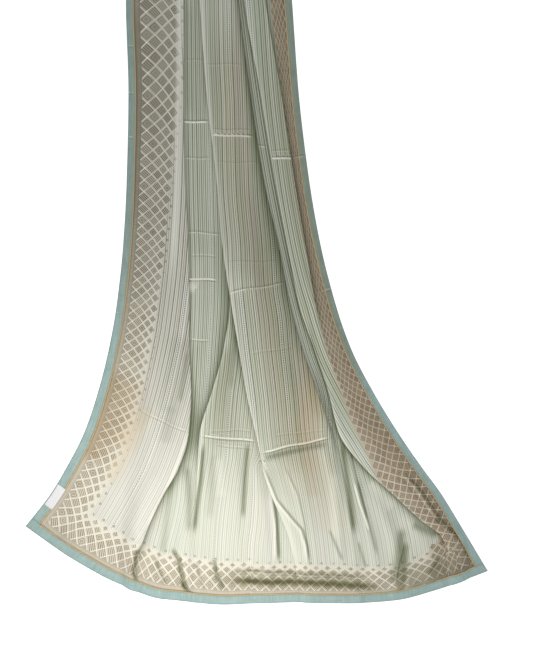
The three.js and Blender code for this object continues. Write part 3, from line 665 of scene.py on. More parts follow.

# Softer painted shade and painted highlights along lines: the stretch, the line in plan, half width, shade
# (less than 0 is a painted highlight) and warmth, partly the right border's browner cloth and partly painted
# warm light and browner shade.
shadingNames = ("on", "line", "half", "shade", "warm")
shadingRows = (
    ("pleat_inset_left", ((-157, 1419), (-160, 1278), (-153, 1137)), 16, 0.16, 0),
    ("pleat_inset_left", ((-127, 1372), (-120, 1161)), 5, 0.3, 0),
    ("pleat_inset_left", ((-161, 752), (-143, 740)), 11, -0.6, 0.1),
    ("pleat_inset_left", ((-136, 832), (-141, 644), (-150, 597)), 13, -0.2, 0.1),
    ("pleat_inset_left", ((-165, 330), (-158, 244), (-160, 164)), 8, 0.5, 0),
    ("pleat_inset_left", ((-196, 300), (-212, 200), (-222, 110)), 7, 0.35, 0),
    ("pleat_lower", ((-125, 385), (-131, 297), (-149, 162)), 6, 0.95, 0),
    ("pleat_lower", ((-133, 385), (-139, 297), (-158, 162)), 4, -0.4, 0),
    ("pleat_lower", ((-102, 360), (-104, 280), (-112, 200)), 9, 0.25, 0),
    ("pleat_lower", ((-21, 385), (-28, 298), (-33, 200)), 5.5, 0.8, 0),
    ("pleat_lower", ((-49, 644), (-56, 573), (-61, 503)), 8, 0.25, 0),
    ("pleat_lower", ((34, 290), (47, 200), (52, 96)), 4.5, 1.0, 0),
    ("pleat_lower", ((28, 290), (40, 200), (44, 96)), 3, -0.5, 0),
    ("pleat_lower", ((-90, 350), (-84, 250)), 12, -0.25, 0),
    ("pleat_main", ((-70, 1274), (-59, 996), (-40, 855)), 10, -0.08, 0.1),
    ("pleat_main", ((-26, 1000), (12, 804), (63, 597), (108, 440)), 15, 0.12, 0),
    ("pleat_main", ((-70, 1400), (-50, 1100), (-30, 920), (20, 740), (50, 600), (80, 440),
                    (90, 260)), 50, 0.16, 0.35),
    ("pleat_main", ((150, 640), (132, 470), (116, 360)), 34, -0.2, 0.75),
    ("pleat_main", ((120, 370), (130, 250)), 20, 0.0, 0.35),
    ("pleat_main", ((60, 330), (150, 330), (186, 160)), 40, -0.08, 0.3),
    ("pleat_main", ((-95, 1560), (-85, 1300), (-72, 1060)), 26, -0.08, 0),
    ("pleat_main", ((14, 335), (48, 250), (84, 205), (106, 180), (118, 140), (125, 92)), 3.4, 0.8, 0),
    ("pleat_main", ((8, 335), (41, 250), (77, 205), (99, 179), (111, 140), (117, 92)), 2.8, -0.6, 0),
    ("pleat_lower", ((-75, 620), (-75, 500), (-72, 360)), 34, 0.2, 0.2),
    ("pleat_main", ((12, 346), (82, 362), (169, 379)), 7, 0.6, 0),
    ("pleat_main", ((193, 381), (214, 260), (228, 160)), 6, 0.95, 0),
    ("pleat_main", ((184, 381), (205, 260), (219, 160)), 4, -0.4, 0),
    ("pleat_main", ((78, 315), (101, 244)), 26, -0.12, 0.15),
    ("pleat_main", ((168, 180), (201, 103)), 3.6, 0.6, 0),
    ("pleat_main", ((179, 315), (183, 150)), 12, -0.2, 0),
    ("pleat_inset_right", ((197, 385), (212, 291), (223, 221), (230, 160)), 7, 0.8, 0),
    ("pleat_inset_right", ((214, 385), (234, 291), (262, 190)), 3.2, 0.5, 0),
    ("pleat_inset_right", ((234, 300), (250, 230), (272, 155), (284, 110)), 4.5, 0.55, 0),
    ("pleat_inset_right", ((226, 290), (240, 238), (262, 170)), 3.5, -0.6, 0),
    ("pleat_inset_right", ((236, 150), (256, 83)), 3.6, 0.6, 0),
    ("pleat_inset_right", ((340, 182), (331, 100), (318, 46)), 11, 0.7, 0.1),
    ("pleat_inset_right", ((362, 190), (400, 172), (424, 160)), 9, 0.6, 0),
    ("pleat_inset_right", ((266, 291), (317, 221)), 18, -0.3, 0),
    ("pleat_right", ((106, 672), (150, 503), (188, 407), (221, 357)), 5, -0.3, 0),
    ("pleat_right", ((118, 672), (165, 503), (205, 415), (240, 365)), 4, 0.3, 0),
    ("right", ((50, 1800), (61, 1419), (70, 1184), (99, 973), (134, 808), (168, 679), (215, 545), (255, 451),
               (297, 390), (353, 315), (448, 200), (520, 100), (620, -20)), 34, 0.22, 0.3),
    ("panel_right", ((345, 309), (377, 277), (415, 221), (436, 195), (477, 150)), 4.5, 0.6, 0),
    ("panel_right", ((335, 309), (367, 277), (405, 221), (426, 195)), 3, -0.4, 0),
    ("panel_right", ((411, 216), (439, 167), (461, 136)), 6, 0.5, 0.1),
    ("panel_right", ((462, 148), (430, 106), (403, 80)), 8, 0.65, 0.1),
    ("panel_right", ((451, 197), (482, 139), (501, 103)), 5, 0.45, 0.1),
    ("edging_right", ((78, 1560), (110, 1000), (180, 660), (270, 480)), 50, 0.08, 0.7),
    ("edging_left", ((-300, 1560), (-300, 1000), (-330, 660)), 50, 0.04, 0.3),
    ("panel_left", ((-178, 1700), (-181, 1278), (-183, 1114), (-188, 949), (-200, 738)), 8, -0.55, 0),
    ("panel_left", ((-345, 560), (-368, 440), (-410, 330)), 44, 0.08, 0.7),
    ("panel_left", ((-289, 526), (-303, 432), (-327, 362)), 30, -0.02, 0.4),
    ("panel_left", ((-255, 470), (-290, 390), (-350, 280)), 16, -0.3, 0.8),
    ("panel_left", ((-160, 407), (-181, 343), (-214, 263), (-247, 202), (-258, 150)), 4, -0.6, 0),
    ("panel_left", ((-200, 470), (-216, 375)), 16, 0.22, 0),
    ("panel_left", ((-182, 640), (-190, 545), (-208, 440)), 26, 0.16, 0),
    ("panel_left", ((-160, 597), (-169, 545), (-181, 470)), 6, 0.4, 0),
    ("panel_left", ((-261, 148), (-282, 120), (-289, 78), (-280, 49)), 5, 0.85, 0.2),
    ("panel_left", ((-470, 170), (-430, 110), (-380, 90)), 16, 0.14, 0.1),
    ("panel_left", ((-282, 1419), (-280, 1137), (-291, 879)), 9, 0.16, 0.3),
    ("hem", ((-200, 134), (-183, 108), (-174, 63), (-164, 33)), 5.5, 0.85, 0.2),
    ("hem", ((-191, 134), (-174, 108), (-165, 63), (-155, 33)), 3, -0.35, 0),
    ("hem", ((-102, 113), (-96, 74), (-78, 36)), 4.5, 0.8, 0.2),
    ("hem", ((-181, 54), (-163, 33), (-143, 15)), 5, 0.8, 0.2),
    ("hem", ((-240, 110), (-226, 74), (-214, 44)), 4, 0.55, 0.1),
    ("hem", ((-142, 104), (-136, 70), (-122, 40)), 3.5, 0.5, 0.1),
    ("hem", ((-75, 59), (25, 54), (113, 54), (172, 50), (300, 39)), 9.5, 0.95, 0.6),
    ("hem", ((-75, 77), (-5, 81), (54, 77), (141, 74), (275, 65)), 4, 0.6, 0.4),
    ("hem", ((430, 113), (402, 70)), 6, 0.4, 0.1),
    ("hem", ((340, 20), (430, 66), (520, 70), (620, 60)), 46, 0.5, 0.0),
    ("hem", ((352, 150), (344, 80), (334, 10)), 11, 0.6, 0.2),
    ("hem", ((362, 150), (356, 80), (346, 10)), 4, -0.3, 0.0),
    ("hem", ((-140, 60), (60, 66), (260, 60)), 26, 0.14, 0.0),
)
shadings = table(shadingNames, shadingRows)


# Signed distance from a line in plan, more than 0 on its right as it is drawn, and a fade towards its ends.
def lineParts(x, y, points):
    best = np.full(x.shape, 1e9)
    side = np.zeros(x.shape)
    place = np.zeros(x.shape)
    points = np.array(points, float)
    steps = np.hypot(*np.diff(points, axis=0).T)
    total, passed = steps.sum(), 0.0
    for (ax, ay), (bx, by), step in zip(points[:-1], points[1:], steps):
        ux, uy = (bx - ax) / step, (by - ay) / step
        along = np.clip((x - ax) * ux + (y - ay) * uy, 0, step)
        dx, dy = x - ax - along * ux, y - ay - along * uy
        distance = np.hypot(dx, dy)
        near = distance < best
        best = np.where(near, distance, best)
        side = np.where(near, np.where(uy * dx - ux * dy > 0, distance, -distance), side)
        place = np.where(near, passed + along, place)
        passed += step
    return side, ease(np.minimum(place, total - place) / (0.16 * total) + 0.1)


# A ridge along a line, with a shallow trough beside it where one is asked for.
def lineLift(x, y, points, half, trough=0.0):
    side, fade = lineParts(x, y, points)
    ridge = np.exp(-((side / half) ** 2))
    if trough:
        beside = (side * np.sign(trough) - 1.9 * half) / (1.5 * half)
        ridge = ridge - 0.5 * abs(trough) * np.exp(-(beside**2))
    return ridge * fade


# How far a press crease wanders from its line.
def wander(x, warp):
    return 1.2 * np.sin(x / 17 + warp / 60)


# Small heights added to the cloth's middle: creases, rolls, waves at the hem and a faint unevenness.
def detail(name, grid):
    x, y = grid[..., 0], grid[..., 1]
    weft, warp = grid[..., 6], grid[..., 7]
    lift = np.zeros(x.shape)
    for crease in creases:
        if isOn(name, crease):
            ridge = lineLift(x, y + wander(x, warp), crease["line"], crease["half"], crease["creaseShading"])
            lift += crease["lift"] * ridge
    for roll in rolls:
        if isOn(name, roll):
            lift += roll["lift"] * lineLift(x, y, roll["line"], roll["half"])
    spread = ease((700 - y) / 500)
    lift += spread * 0.8 * (1 + np.sin(weft / 16 + 0.8 * np.sin(warp / 130)))
    lift += 0.25 * (1 + np.sin(warp / 27 + 1.3 * np.sin(weft / 61)) * np.sin(weft / 33 + 0.6))
    edge = np.minimum(weft, cloth["width"] - weft)
    if name.startswith("edging"):
        return lift * 0.5
    return lift * ease(edge / 60) * ease(warp / 40 + 0.15)


# How much painted shade the cloth gets at each point, less than 0 for a painted highlight, and how much
# warmth.
def shadingMap(name, grid, edges):
    x, y, place = grid[..., 0], grid[..., 1], grid[..., 8]
    shade, warm = np.zeros(x.shape), np.zeros(x.shape)
    for fold, side, rows in edgeShading.get(name, ()):
        heights, amounts, widths = np.array(rows).T
        distance = np.maximum(side * (place - edges[fold]), 0) / np.interp(y, heights, widths)
        shade += np.interp(y, heights, amounts) * np.exp(-(distance**1.5))
    for shading in shadings:
        if isOn(name, shading):
            near = lineLift(x, y, shading["line"], shading["half"])
            shade += shading["shade"] * near
            warm += shading["warm"] * near
    return np.clip(shade, -0.8, 1.0), np.clip(warm, 0, 1)


# The distance from the nearest crease, and the strength and side of its painted highlight and painted shade.
def creaseMap(name, grid):
    x, y = grid[..., 0], grid[..., 1]
    distance, creaseShading = np.full(x.shape, 40.0), np.zeros(x.shape)
    best = np.zeros(x.shape)
    for crease in creases:
        if isOn(name, crease):
            side, fade = lineParts(x, y + wander(x, grid[..., 7]), crease["line"])
            weight = fade * np.exp(-((side / 14) ** 2))
            better = weight > best
            best = np.where(better, weight, best)
            distance = np.where(better, side, distance)
            creaseShading = np.where(better, crease["creaseShading"] * fade, creaseShading)
    return distance, creaseShading


# A mesh object from points in metres and four-sided faces. The maps have one pair of values for each point.
def addMesh(name, points, faces, maps):
    mesh = bpy.data.meshes.new(name)
    mesh.vertices.add(len(points))
    mesh.vertices.foreach_set("co", points.astype(np.float32).ravel())
    mesh.loops.add(faces.size)
    mesh.loops.foreach_set("vertex_index", faces.ravel().astype(np.int32))
    mesh.polygons.add(len(faces))
    mesh.polygons.foreach_set("loop_start", np.arange(0, faces.size, 4, dtype=np.int32))
    mesh.polygons.foreach_set("use_smooth", np.ones(len(faces), bool))
    mesh.update(calc_edges=True)
    for tag, values in maps.items():
        layer = mesh.uv_layers.new(name=tag, do_init=False)
        layer.uv.foreach_set("vector", values[faces.ravel()].astype(np.float32).ravel())
    piece = bpy.data.objects.new(name, mesh)
    bpy.context.collection.objects.link(piece)
    return piece


# The faces of a closed wall: an upper grid, a lower one and the rim between them.
def shellFaces(rows, columns):
    index = np.arange(rows * columns).reshape(rows, columns)
    under = index + rows * columns
    faces = [
        np.stack([index[:-1, :-1], index[:-1, 1:], index[1:, 1:], index[1:, :-1]], -1).reshape(-1, 4),
        np.stack([under[:-1, :-1], under[1:, :-1], under[1:, 1:], under[:-1, 1:]], -1).reshape(-1, 4),
    ]
    for top, low in (
        (index[0, ::-1], under[0, ::-1]), (index[-1], under[-1]),
        (index[:, 0], under[:, 0]), (index[::-1, -1], under[::-1, -1]),
    ):
        faces.append(np.stack([top[:-1], top[1:], low[1:], low[:-1]], -1))
    return np.concatenate(faces)


def placedPoints(points):
    return points * mm + np.array([shiftX, shiftY, 0])


# The UV maps of one piece: the place on the cloth, the place in the border's pattern, the creases' painted
# highlight and shade, and the painted shade, highlights and warmth.
def clothMaps(name, grid, edges):
    weft, warp = grid[..., 6], grid[..., 7]
    onLeft = weft < cloth["width"] / 2
    onMotif = np.clip(warp, 0, motifEnd)
    across = np.where(onLeft, motif["left"](onMotif), motif["rightAcross"](onMotif))
    alongLeft = np.interp(warp, warpSteps, reached["leftAlong"])
    alongRight = np.interp(warp, warpSteps, reached["rightAlong"])
    along = np.where(onLeft, alongLeft, alongRight)
    fromBraid = (np.minimum(weft, cloth["width"] - weft) - cloth["edging"]) / across
    # the right border's pattern starts closer to its braid
    fromBraid += 14 * ease((weft - 850) / 200)
    shade, warm = shadingMap(name, grid, edges)
    distance, creaseShading = creaseMap(name, grid)
    pairs = {
        "Cloth": (weft * mm, warp * mm),
        "Weave": (columnAt(fromBraid) * mm, columnAt(along - cloth["hemEdging"]) * mm),
        "Crease": (distance * mm, creaseShading),
        "Tone": (shade, warm),
    }
    return {tag: np.tile(np.stack([u.ravel(), v.ravel()], 1), (2, 1)) for tag, (u, v) in pairs.items()}


def normalOf(across, along):
    normal = np.cross(across, along)
    return normal / np.maximum(np.linalg.norm(normal, axis=-1, keepdims=True), 1e-9)


# A closed thin wall on both sides of a grid of middle points, kept over the floor.
def wallMesh(name, middle, normal, lift, wall, lowest, maps):
    shells = []
    for side in (1, -1):
        shell = middle + normal * (lift + side * wall / 2)
        shell[..., 2] = np.maximum(shell[..., 2], lowest)
        shells.append(shell.reshape(-1, 3))
    return addMesh(name + "_cloth", placedPoints(np.concatenate(shells)), shellFaces(*middle.shape[:2]), maps)


# A stretch of cloth with its creases and rolls. Where points fall together, the section's direction holds.
def clothMesh(name, grid, edges, lift=0.0, wall=cloth["wall"]):
    middle = grid[..., :3].copy()
    middle[..., 2] += detail(name, grid)
    across = np.gradient(middle, axis=1)
    across = np.where(np.abs(across).sum(-1, keepdims=True) > 1e-6, across, grid[..., 3:6])
    normal = normalOf(across, np.gradient(middle, axis=0))
    return wallMesh(name, middle, normal, lift, wall, 0.02, clothMaps(name, grid, edges))


def newMaterial(name, values):
    material = bpy.data.materials.new(name)
    material.use_nodes = True
    tree = material.node_tree
    shader = tree.nodes["Principled BSDF"]
    for socket, value in values.items():
        shader.inputs[socket].default_value = value
    return material, tree, shader


def maths(tree, operation, a, b=0.0, c=0.0):
    node = tree.nodes.new("ShaderNodeMath")
    node.operation = operation
    for socket, value in zip(node.inputs, (a, b, c)):
        if isinstance(value, (int, float)):
            socket.default_value = value
        else:
            tree.links.new(value, socket)
    return node.outputs[0]


def times(tree, *values):
    out = values[0]
    for value in values[1:]:
        out = maths(tree, "MULTIPLY", out, value)
    return out


def scaled(tree, value, factor, offset):
    return maths(tree, "MULTIPLY_ADD", value, factor, offset)


def mixColour(tree, factor, a, b, blend="MIX"):
    node = tree.nodes.new("ShaderNodeMix")
    node.data_type = "RGBA"
    node.blend_type = blend
    node.clamp_factor = True
    for socket, value in ((node.inputs[0], factor), (node.inputs[6], a), (node.inputs[7], b)):
        if isinstance(value, (int, float)):
            socket.default_value = value
        elif isinstance(value, tuple):
            socket.default_value = (*value, 1.0)
        else:
            tree.links.new(value, socket)
    return node.outputs[2]


# Both values of one of the cloth's maps, in millimetres unless another scale is given.
def uvParts(tree, name, scale=1000.0):
    uv = tree.nodes.new("ShaderNodeUVMap")
    uv.uv_map = name
    parts = tree.nodes.new("ShaderNodeSeparateXYZ")
    tree.links.new(uv.outputs[0], parts.inputs[0])
    return [maths(tree, "MULTIPLY", socket, scale) for socket in parts.outputs[:2]]


def noiseOf(tree, x, y, scaleX, scaleY, detailLevel=2.0):
    vector = tree.nodes.new("ShaderNodeCombineXYZ")
    tree.links.new(maths(tree, "MULTIPLY", x, scaleX), vector.inputs[0])
    tree.links.new(maths(tree, "MULTIPLY", y, scaleY), vector.inputs[1])
    node = tree.nodes.new("ShaderNodeTexNoise")
    node.inputs["Scale"].default_value = 1.0
    node.inputs["Detail"].default_value = detailLevel
    tree.links.new(vector.outputs[0], node.inputs["Vector"])
    return node.outputs[0]


# Three steady random numbers for each whole number.
def randomOf(tree, value):
    node = tree.nodes.new("ShaderNodeTexWhiteNoise")
    node.noise_dimensions = "1D"
    tree.links.new(value, node.inputs["W"])
    parts = tree.nodes.new("ShaderNodeSeparateXYZ")
    tree.links.new(node.outputs["Color"], parts.inputs[0])
    return parts.outputs


# 1 from low to high, with soft ends.
def band(tree, value, low, high, soft):
    ends = []
    for start, stop in ((low - soft, low + soft), (high + soft, high - soft)):
        node = tree.nodes.new("ShaderNodeMapRange")
        node.interpolation_type = "SMOOTHSTEP"
        tree.links.new(value, node.inputs["Value"])
        node.inputs["From Min"].default_value = start
        node.inputs["From Max"].default_value = stop
        ends.append(node.outputs[0])
    return maths(tree, "MULTIPLY", *ends)


def above(tree, value, low, soft):
    node = tree.nodes.new("ShaderNodeMapRange")
    node.interpolation_type = "SMOOTHSTEP"
    tree.links.new(value, node.inputs["Value"])
    for socket, step in (("From Min", -soft), ("From Max", soft)):
        if isinstance(low, (int, float)):
            node.inputs[socket].default_value = low + step
        else:
            tree.links.new(maths(tree, "ADD", low, step), node.inputs[socket])
    return node.outputs[0]


def below(tree, value, high, soft):
    return maths(tree, "SUBTRACT", 1.0, above(tree, value, high, soft))


def wave(tree, value, period, phase=0.0):
    angle = scaled(tree, value, 2 * math.pi / period, phase)
    return scaled(tree, maths(tree, "SINE", angle), 0.5, 0.5)


def addBump(tree, shader, height, strength, distance):
    bump = tree.nodes.new("ShaderNodeBump")
    bump.inputs["Strength"].default_value = strength
    bump.inputs["Distance"].default_value = distance
    tree.links.new(height, bump.inputs["Height"])
    tree.links.new(bump.outputs[0], shader.inputs["Normal"])


# Colours of the weave, and of what light and shade make of them. Lit is nearer the lamp.
weave = {
    "field": (0.55, 0.56, 0.435),
    "fieldGreen": (0.43, 0.49, 0.35),
    "fieldPink": (0.58, 0.54, 0.47),
    "fieldDark": (0.11, 0.09, 0.05),
    "fieldPale": (0.84, 0.85, 0.78),
    "fieldBrown": (0.22, 0.155, 0.09),
    "cream": (0.90, 0.77, 0.51),
    "ground": (0.43, 0.41, 0.32),
    "groundLit": (0.66, 0.61, 0.49),
    "line": (0.80, 0.79, 0.69),
    "lineLit": (0.93, 0.90, 0.80),
    "taupe": (0.12, 0.09, 0.055),
    "taupeLit": (0.25, 0.20, 0.13),
    "taupePale": (0.60, 0.57, 0.46),
    "taupePaleLit": (0.76, 0.69, 0.55),
    "bronze": (0.48, 0.375, 0.265),
    "bronzeLine": (0.80, 0.71, 0.56),
    "bronzeDark": (0.165, 0.12, 0.075),
    "bronzePale": (0.56, 0.45, 0.33),
    "valley": (0.13, 0.14, 0.08),
    "glint": (0.97, 0.95, 0.84),
    "shade": (0.25, 0.29, 0.18),
    "warm": (0.80, 0.66, 0.50),
}


# Painted shade beside the creases and painted highlights on their crests, then the painted shade and
# highlights along fold edges and lines, and the warm tint.
def paintedShading(tree, colour):
    distance, creaseShading = uvParts(tree, "Crease")
    creaseShading = maths(tree, "DIVIDE", creaseShading, 1000.0)
    amount = maths(tree, "ABSOLUTE", creaseShading)
    onDark = maths(tree, "MULTIPLY", distance, maths(tree, "SIGN", creaseShading))
    # painted shade on one side of each crease, and a painted highlight on its crest, broken up by noise
    weft, warp = uvParts(tree, "Cloth")
    broken = above(tree, noiseOf(tree, weft, warp, 0.35, 0.02), scaled(tree, amount, -0.3, 0.62), 0.12)
    darkSide = times(tree, band(tree, onDark, 1.8, 5.4, 1.6), amount, 0.55)
    colour = mixColour(tree, darkSide, colour, weave["valley"])
    wide = maths(tree, "MULTIPLY", distance, scaled(tree, amount, -0.45, 1.2))
    crest = times(tree, band(tree, wide, -1.5, 1.5, 1.0), amount, broken, 1.0)
    colour = mixColour(tree, crest, colour, weave["glint"])
    # the warm tint, partly the right border's browner cloth and partly painted warm light, then painted shade
    # and painted highlights
    shade, warm = uvParts(tree, "Tone", 1.0)
    warmed = mixColour(tree, 1.0, colour, weave["warm"], "MULTIPLY")
    colour = mixColour(tree, warm, colour, warmed)
    darkened = mixColour(tree, 1.0, colour, weave["shade"], "MULTIPLY")
    colour = mixColour(tree, maths(tree, "MAXIMUM", shade, 0.0), colour, darkened)
    light = maths(tree, "MAXIMUM", maths(tree, "MULTIPLY", shade, -1.0), 0.0)
    return mixColour(tree, light, colour, weave["glint"])


# Places on the field, from the cloth's left edge. The lit part's is from the hem, with how soft its end is.
field = {
    "pitch": 10.0,  # one group of stripes
    "dashPitch": 81.0,
    "dashStart": 78.0,
    "dashStep": 5.0,
    "plain": (795.0, 820.0),  # the narrow valley has no dashes
    "pinkTo": 325.0,
    "greenFrom": 338.0,
    "middle": (540.0, 790.0),  # pinkish here and there, and less green
    "creamFrom": 390.0,
    "lit": (350.0, 210.0),
}


# The field's stripes, and the place within one group of them.
def fieldColour(tree, weft, warp):
    place = maths(tree, "DIVIDE", weft, field["pitch"])
    number = maths(tree, "FLOOR", place)
    within = maths(tree, "FRACT", place)
    one, two, three = randomOf(tree, number)
    four, five, six = randomOf(tree, maths(tree, "ADD", number, 0.37))
    streak = scaled(tree, noiseOf(tree, weft, warp, 0.12, 0.006, 3.0), 0.9, 0.5)
    # painted light: near the hem, where the lamp is, the darker stripes and the green fade, and only there
    # the cream lines show
    lower = below(tree, warp, *field["lit"])
    softer = scaled(tree, lower, -0.62, 1.0)

    middle = band(tree, weft, *field["middle"], 30.0)
    outside = maths(tree, "SUBTRACT", 1.0, middle)
    greener = times(tree, above(tree, weft, field["greenFrom"], 14.0), outside, 0.7)
    greener = maths(tree, "MAXIMUM", maths(tree, "MULTIPLY", four, 0.9), greener)
    colour = mixColour(tree, times(tree, greener, softer), weave["field"], weave["fieldGreen"])
    pinker = times(tree, above(tree, noiseOf(tree, weft, warp, 0.03, 0.0012), 0.54, 0.1), middle, 0.7)
    onLeft = maths(tree, "SUBTRACT", 0.8, above(tree, weft, field["pinkTo"], 12.0))
    colour = mixColour(tree, maths(tree, "MAXIMUM", pinker, onLeft), colour, weave["fieldPink"])

    # each stripe: where it starts and ends in its group, how soft, how strong and its colour
    stripes = (
        (0.0, 0.15, 0.05, scaled(tree, one, 0.6, 0.62), "fieldDark"),
        (0.20, 0.38, 0.05, scaled(tree, two, 0.7, 0.35), "fieldPale"),
        (0.48, 0.58, 0.04, scaled(tree, three, 0.95, 0.15), "fieldBrown"),
        (0.64, 0.80, 0.05, scaled(tree, five, 0.7, 0.2), "fieldPale"),
        (0.86, 0.92, 0.04, scaled(tree, six, 0.6, 0.0), "fieldBrown"),
    )
    for low, high, soft, strength, colourName in stripes:
        mask = times(tree, band(tree, within, low, high, soft), strength, streak)
        if colourName != "fieldPale":
            mask = times(tree, mask, softer)
        colour = mixColour(tree, mask, colour, weave[colourName])
    fromLeft = scaled(tree, above(tree, weft, field["creamFrom"], 25.0), 0.75, 0.25)
    creamLine = times(tree, band(tree, within, 0.66, 0.8, 0.05), scaled(tree, two, 0.8, 0.2), lower, fromLeft)
    colour = mixColour(tree, creamLine, colour, weave["cream"])
    # painted light: the field paler near the hem
    colour = mixColour(tree, times(tree, lower, 0.3), colour, weave["fieldPale"])

    # a pale line with dark dashes beside it
    toDash = maths(tree, "PINGPONG", maths(tree, "ADD", weft, -field["dashStart"]), field["dashPitch"] / 2)
    seen = maths(tree, "SUBTRACT", 1.0, band(tree, weft, *field["plain"], 2.0))
    paleLine = times(tree, band(tree, toDash, -2.0, 3.4, 0.6), softer, seen, 0.6)
    colour = mixColour(tree, paleLine, colour, weave["fieldPale"])
    broken = above(tree, wave(tree, warp, field["dashStep"]), 0.35, 0.15)
    dash = times(tree, band(tree, toDash, -2.0, 1.0, 0.35), broken, maths(tree, "SQRT", softer), seen, 0.95)
    return mixColour(tree, dash, colour, weave["fieldDark"]), within


# Diamond cells turned by 45 degrees: the cell, the reach from its centre, 0 to 1, and its column.
def borderMasks(tree, p, q):
    u = maths(tree, "MULTIPLY", maths(tree, "ADD", p, q), 0.5)
    v = maths(tree, "MULTIPLY", maths(tree, "SUBTRACT", p, q), 0.5)
    nearU, nearV = maths(tree, "ROUND", u), maths(tree, "ROUND", v)
    offU = maths(tree, "ABSOLUTE", maths(tree, "SUBTRACT", u, nearU))
    offV = maths(tree, "ABSOLUTE", maths(tree, "SUBTRACT", v, nearV))
    reach = maths(tree, "MULTIPLY", maths(tree, "MAXIMUM", offU, offV), 2.0)
    column = maths(tree, "MINIMUM", maths(tree, "ADD", nearU, nearV), maths(tree, "SUBTRACT", nearU, nearV))
    return u, nearU, nearV, reach, column


# Places are from the cloth's left edge or from the hem, with how soft they are. Sizes are shares of a cell.
border = {
    "right": (1010.0, 40.0),
    "fullOnRight": (1010.0, 25.0),
    "lit": (520.0, 340.0),
    "upper": (430.0, 260.0),
    "diamonds": (0.0, 0.94, 0.90, 0.82, 0.70, 0.54, 0.28, 0.0),  # their size in each column
    "fullSize": 0.88,
    "upperSize": 0.82,
    "ends": 4.55,  # the column where the ground ends, and the lattice
    "latticeEnds": 3.2,
}


# The size of the diamonds by their column, larger on the right border and towards the waist.
def diamondSize(tree, weft, column, upper):
    size = tree.nodes.new("ShaderNodeValToRGB")
    size.color_ramp.interpolation = "CONSTANT"
    while len(size.color_ramp.elements) < len(border["diamonds"]):
        size.color_ramp.elements.new(0.5)
    for i, (element, value) in enumerate(zip(size.color_ramp.elements, border["diamonds"])):
        element.position = i / 10
        element.color = (value,) * 3 + (1,)
    tree.links.new(scaled(tree, column, 0.1, 0.15), size.inputs[0])
    onRight = above(tree, weft, *border["fullOnRight"])
    fuller = times(tree, onRight, band(tree, column, -0.5, 6.5, 0.02), border["fullSize"])
    higher = times(tree, upper, band(tree, column, -0.5, 4.5, 0.02), border["upperSize"])
    fuller = maths(tree, "MAXIMUM", fuller, higher)
    return maths(tree, "MAXIMUM", size.outputs[0], fuller)


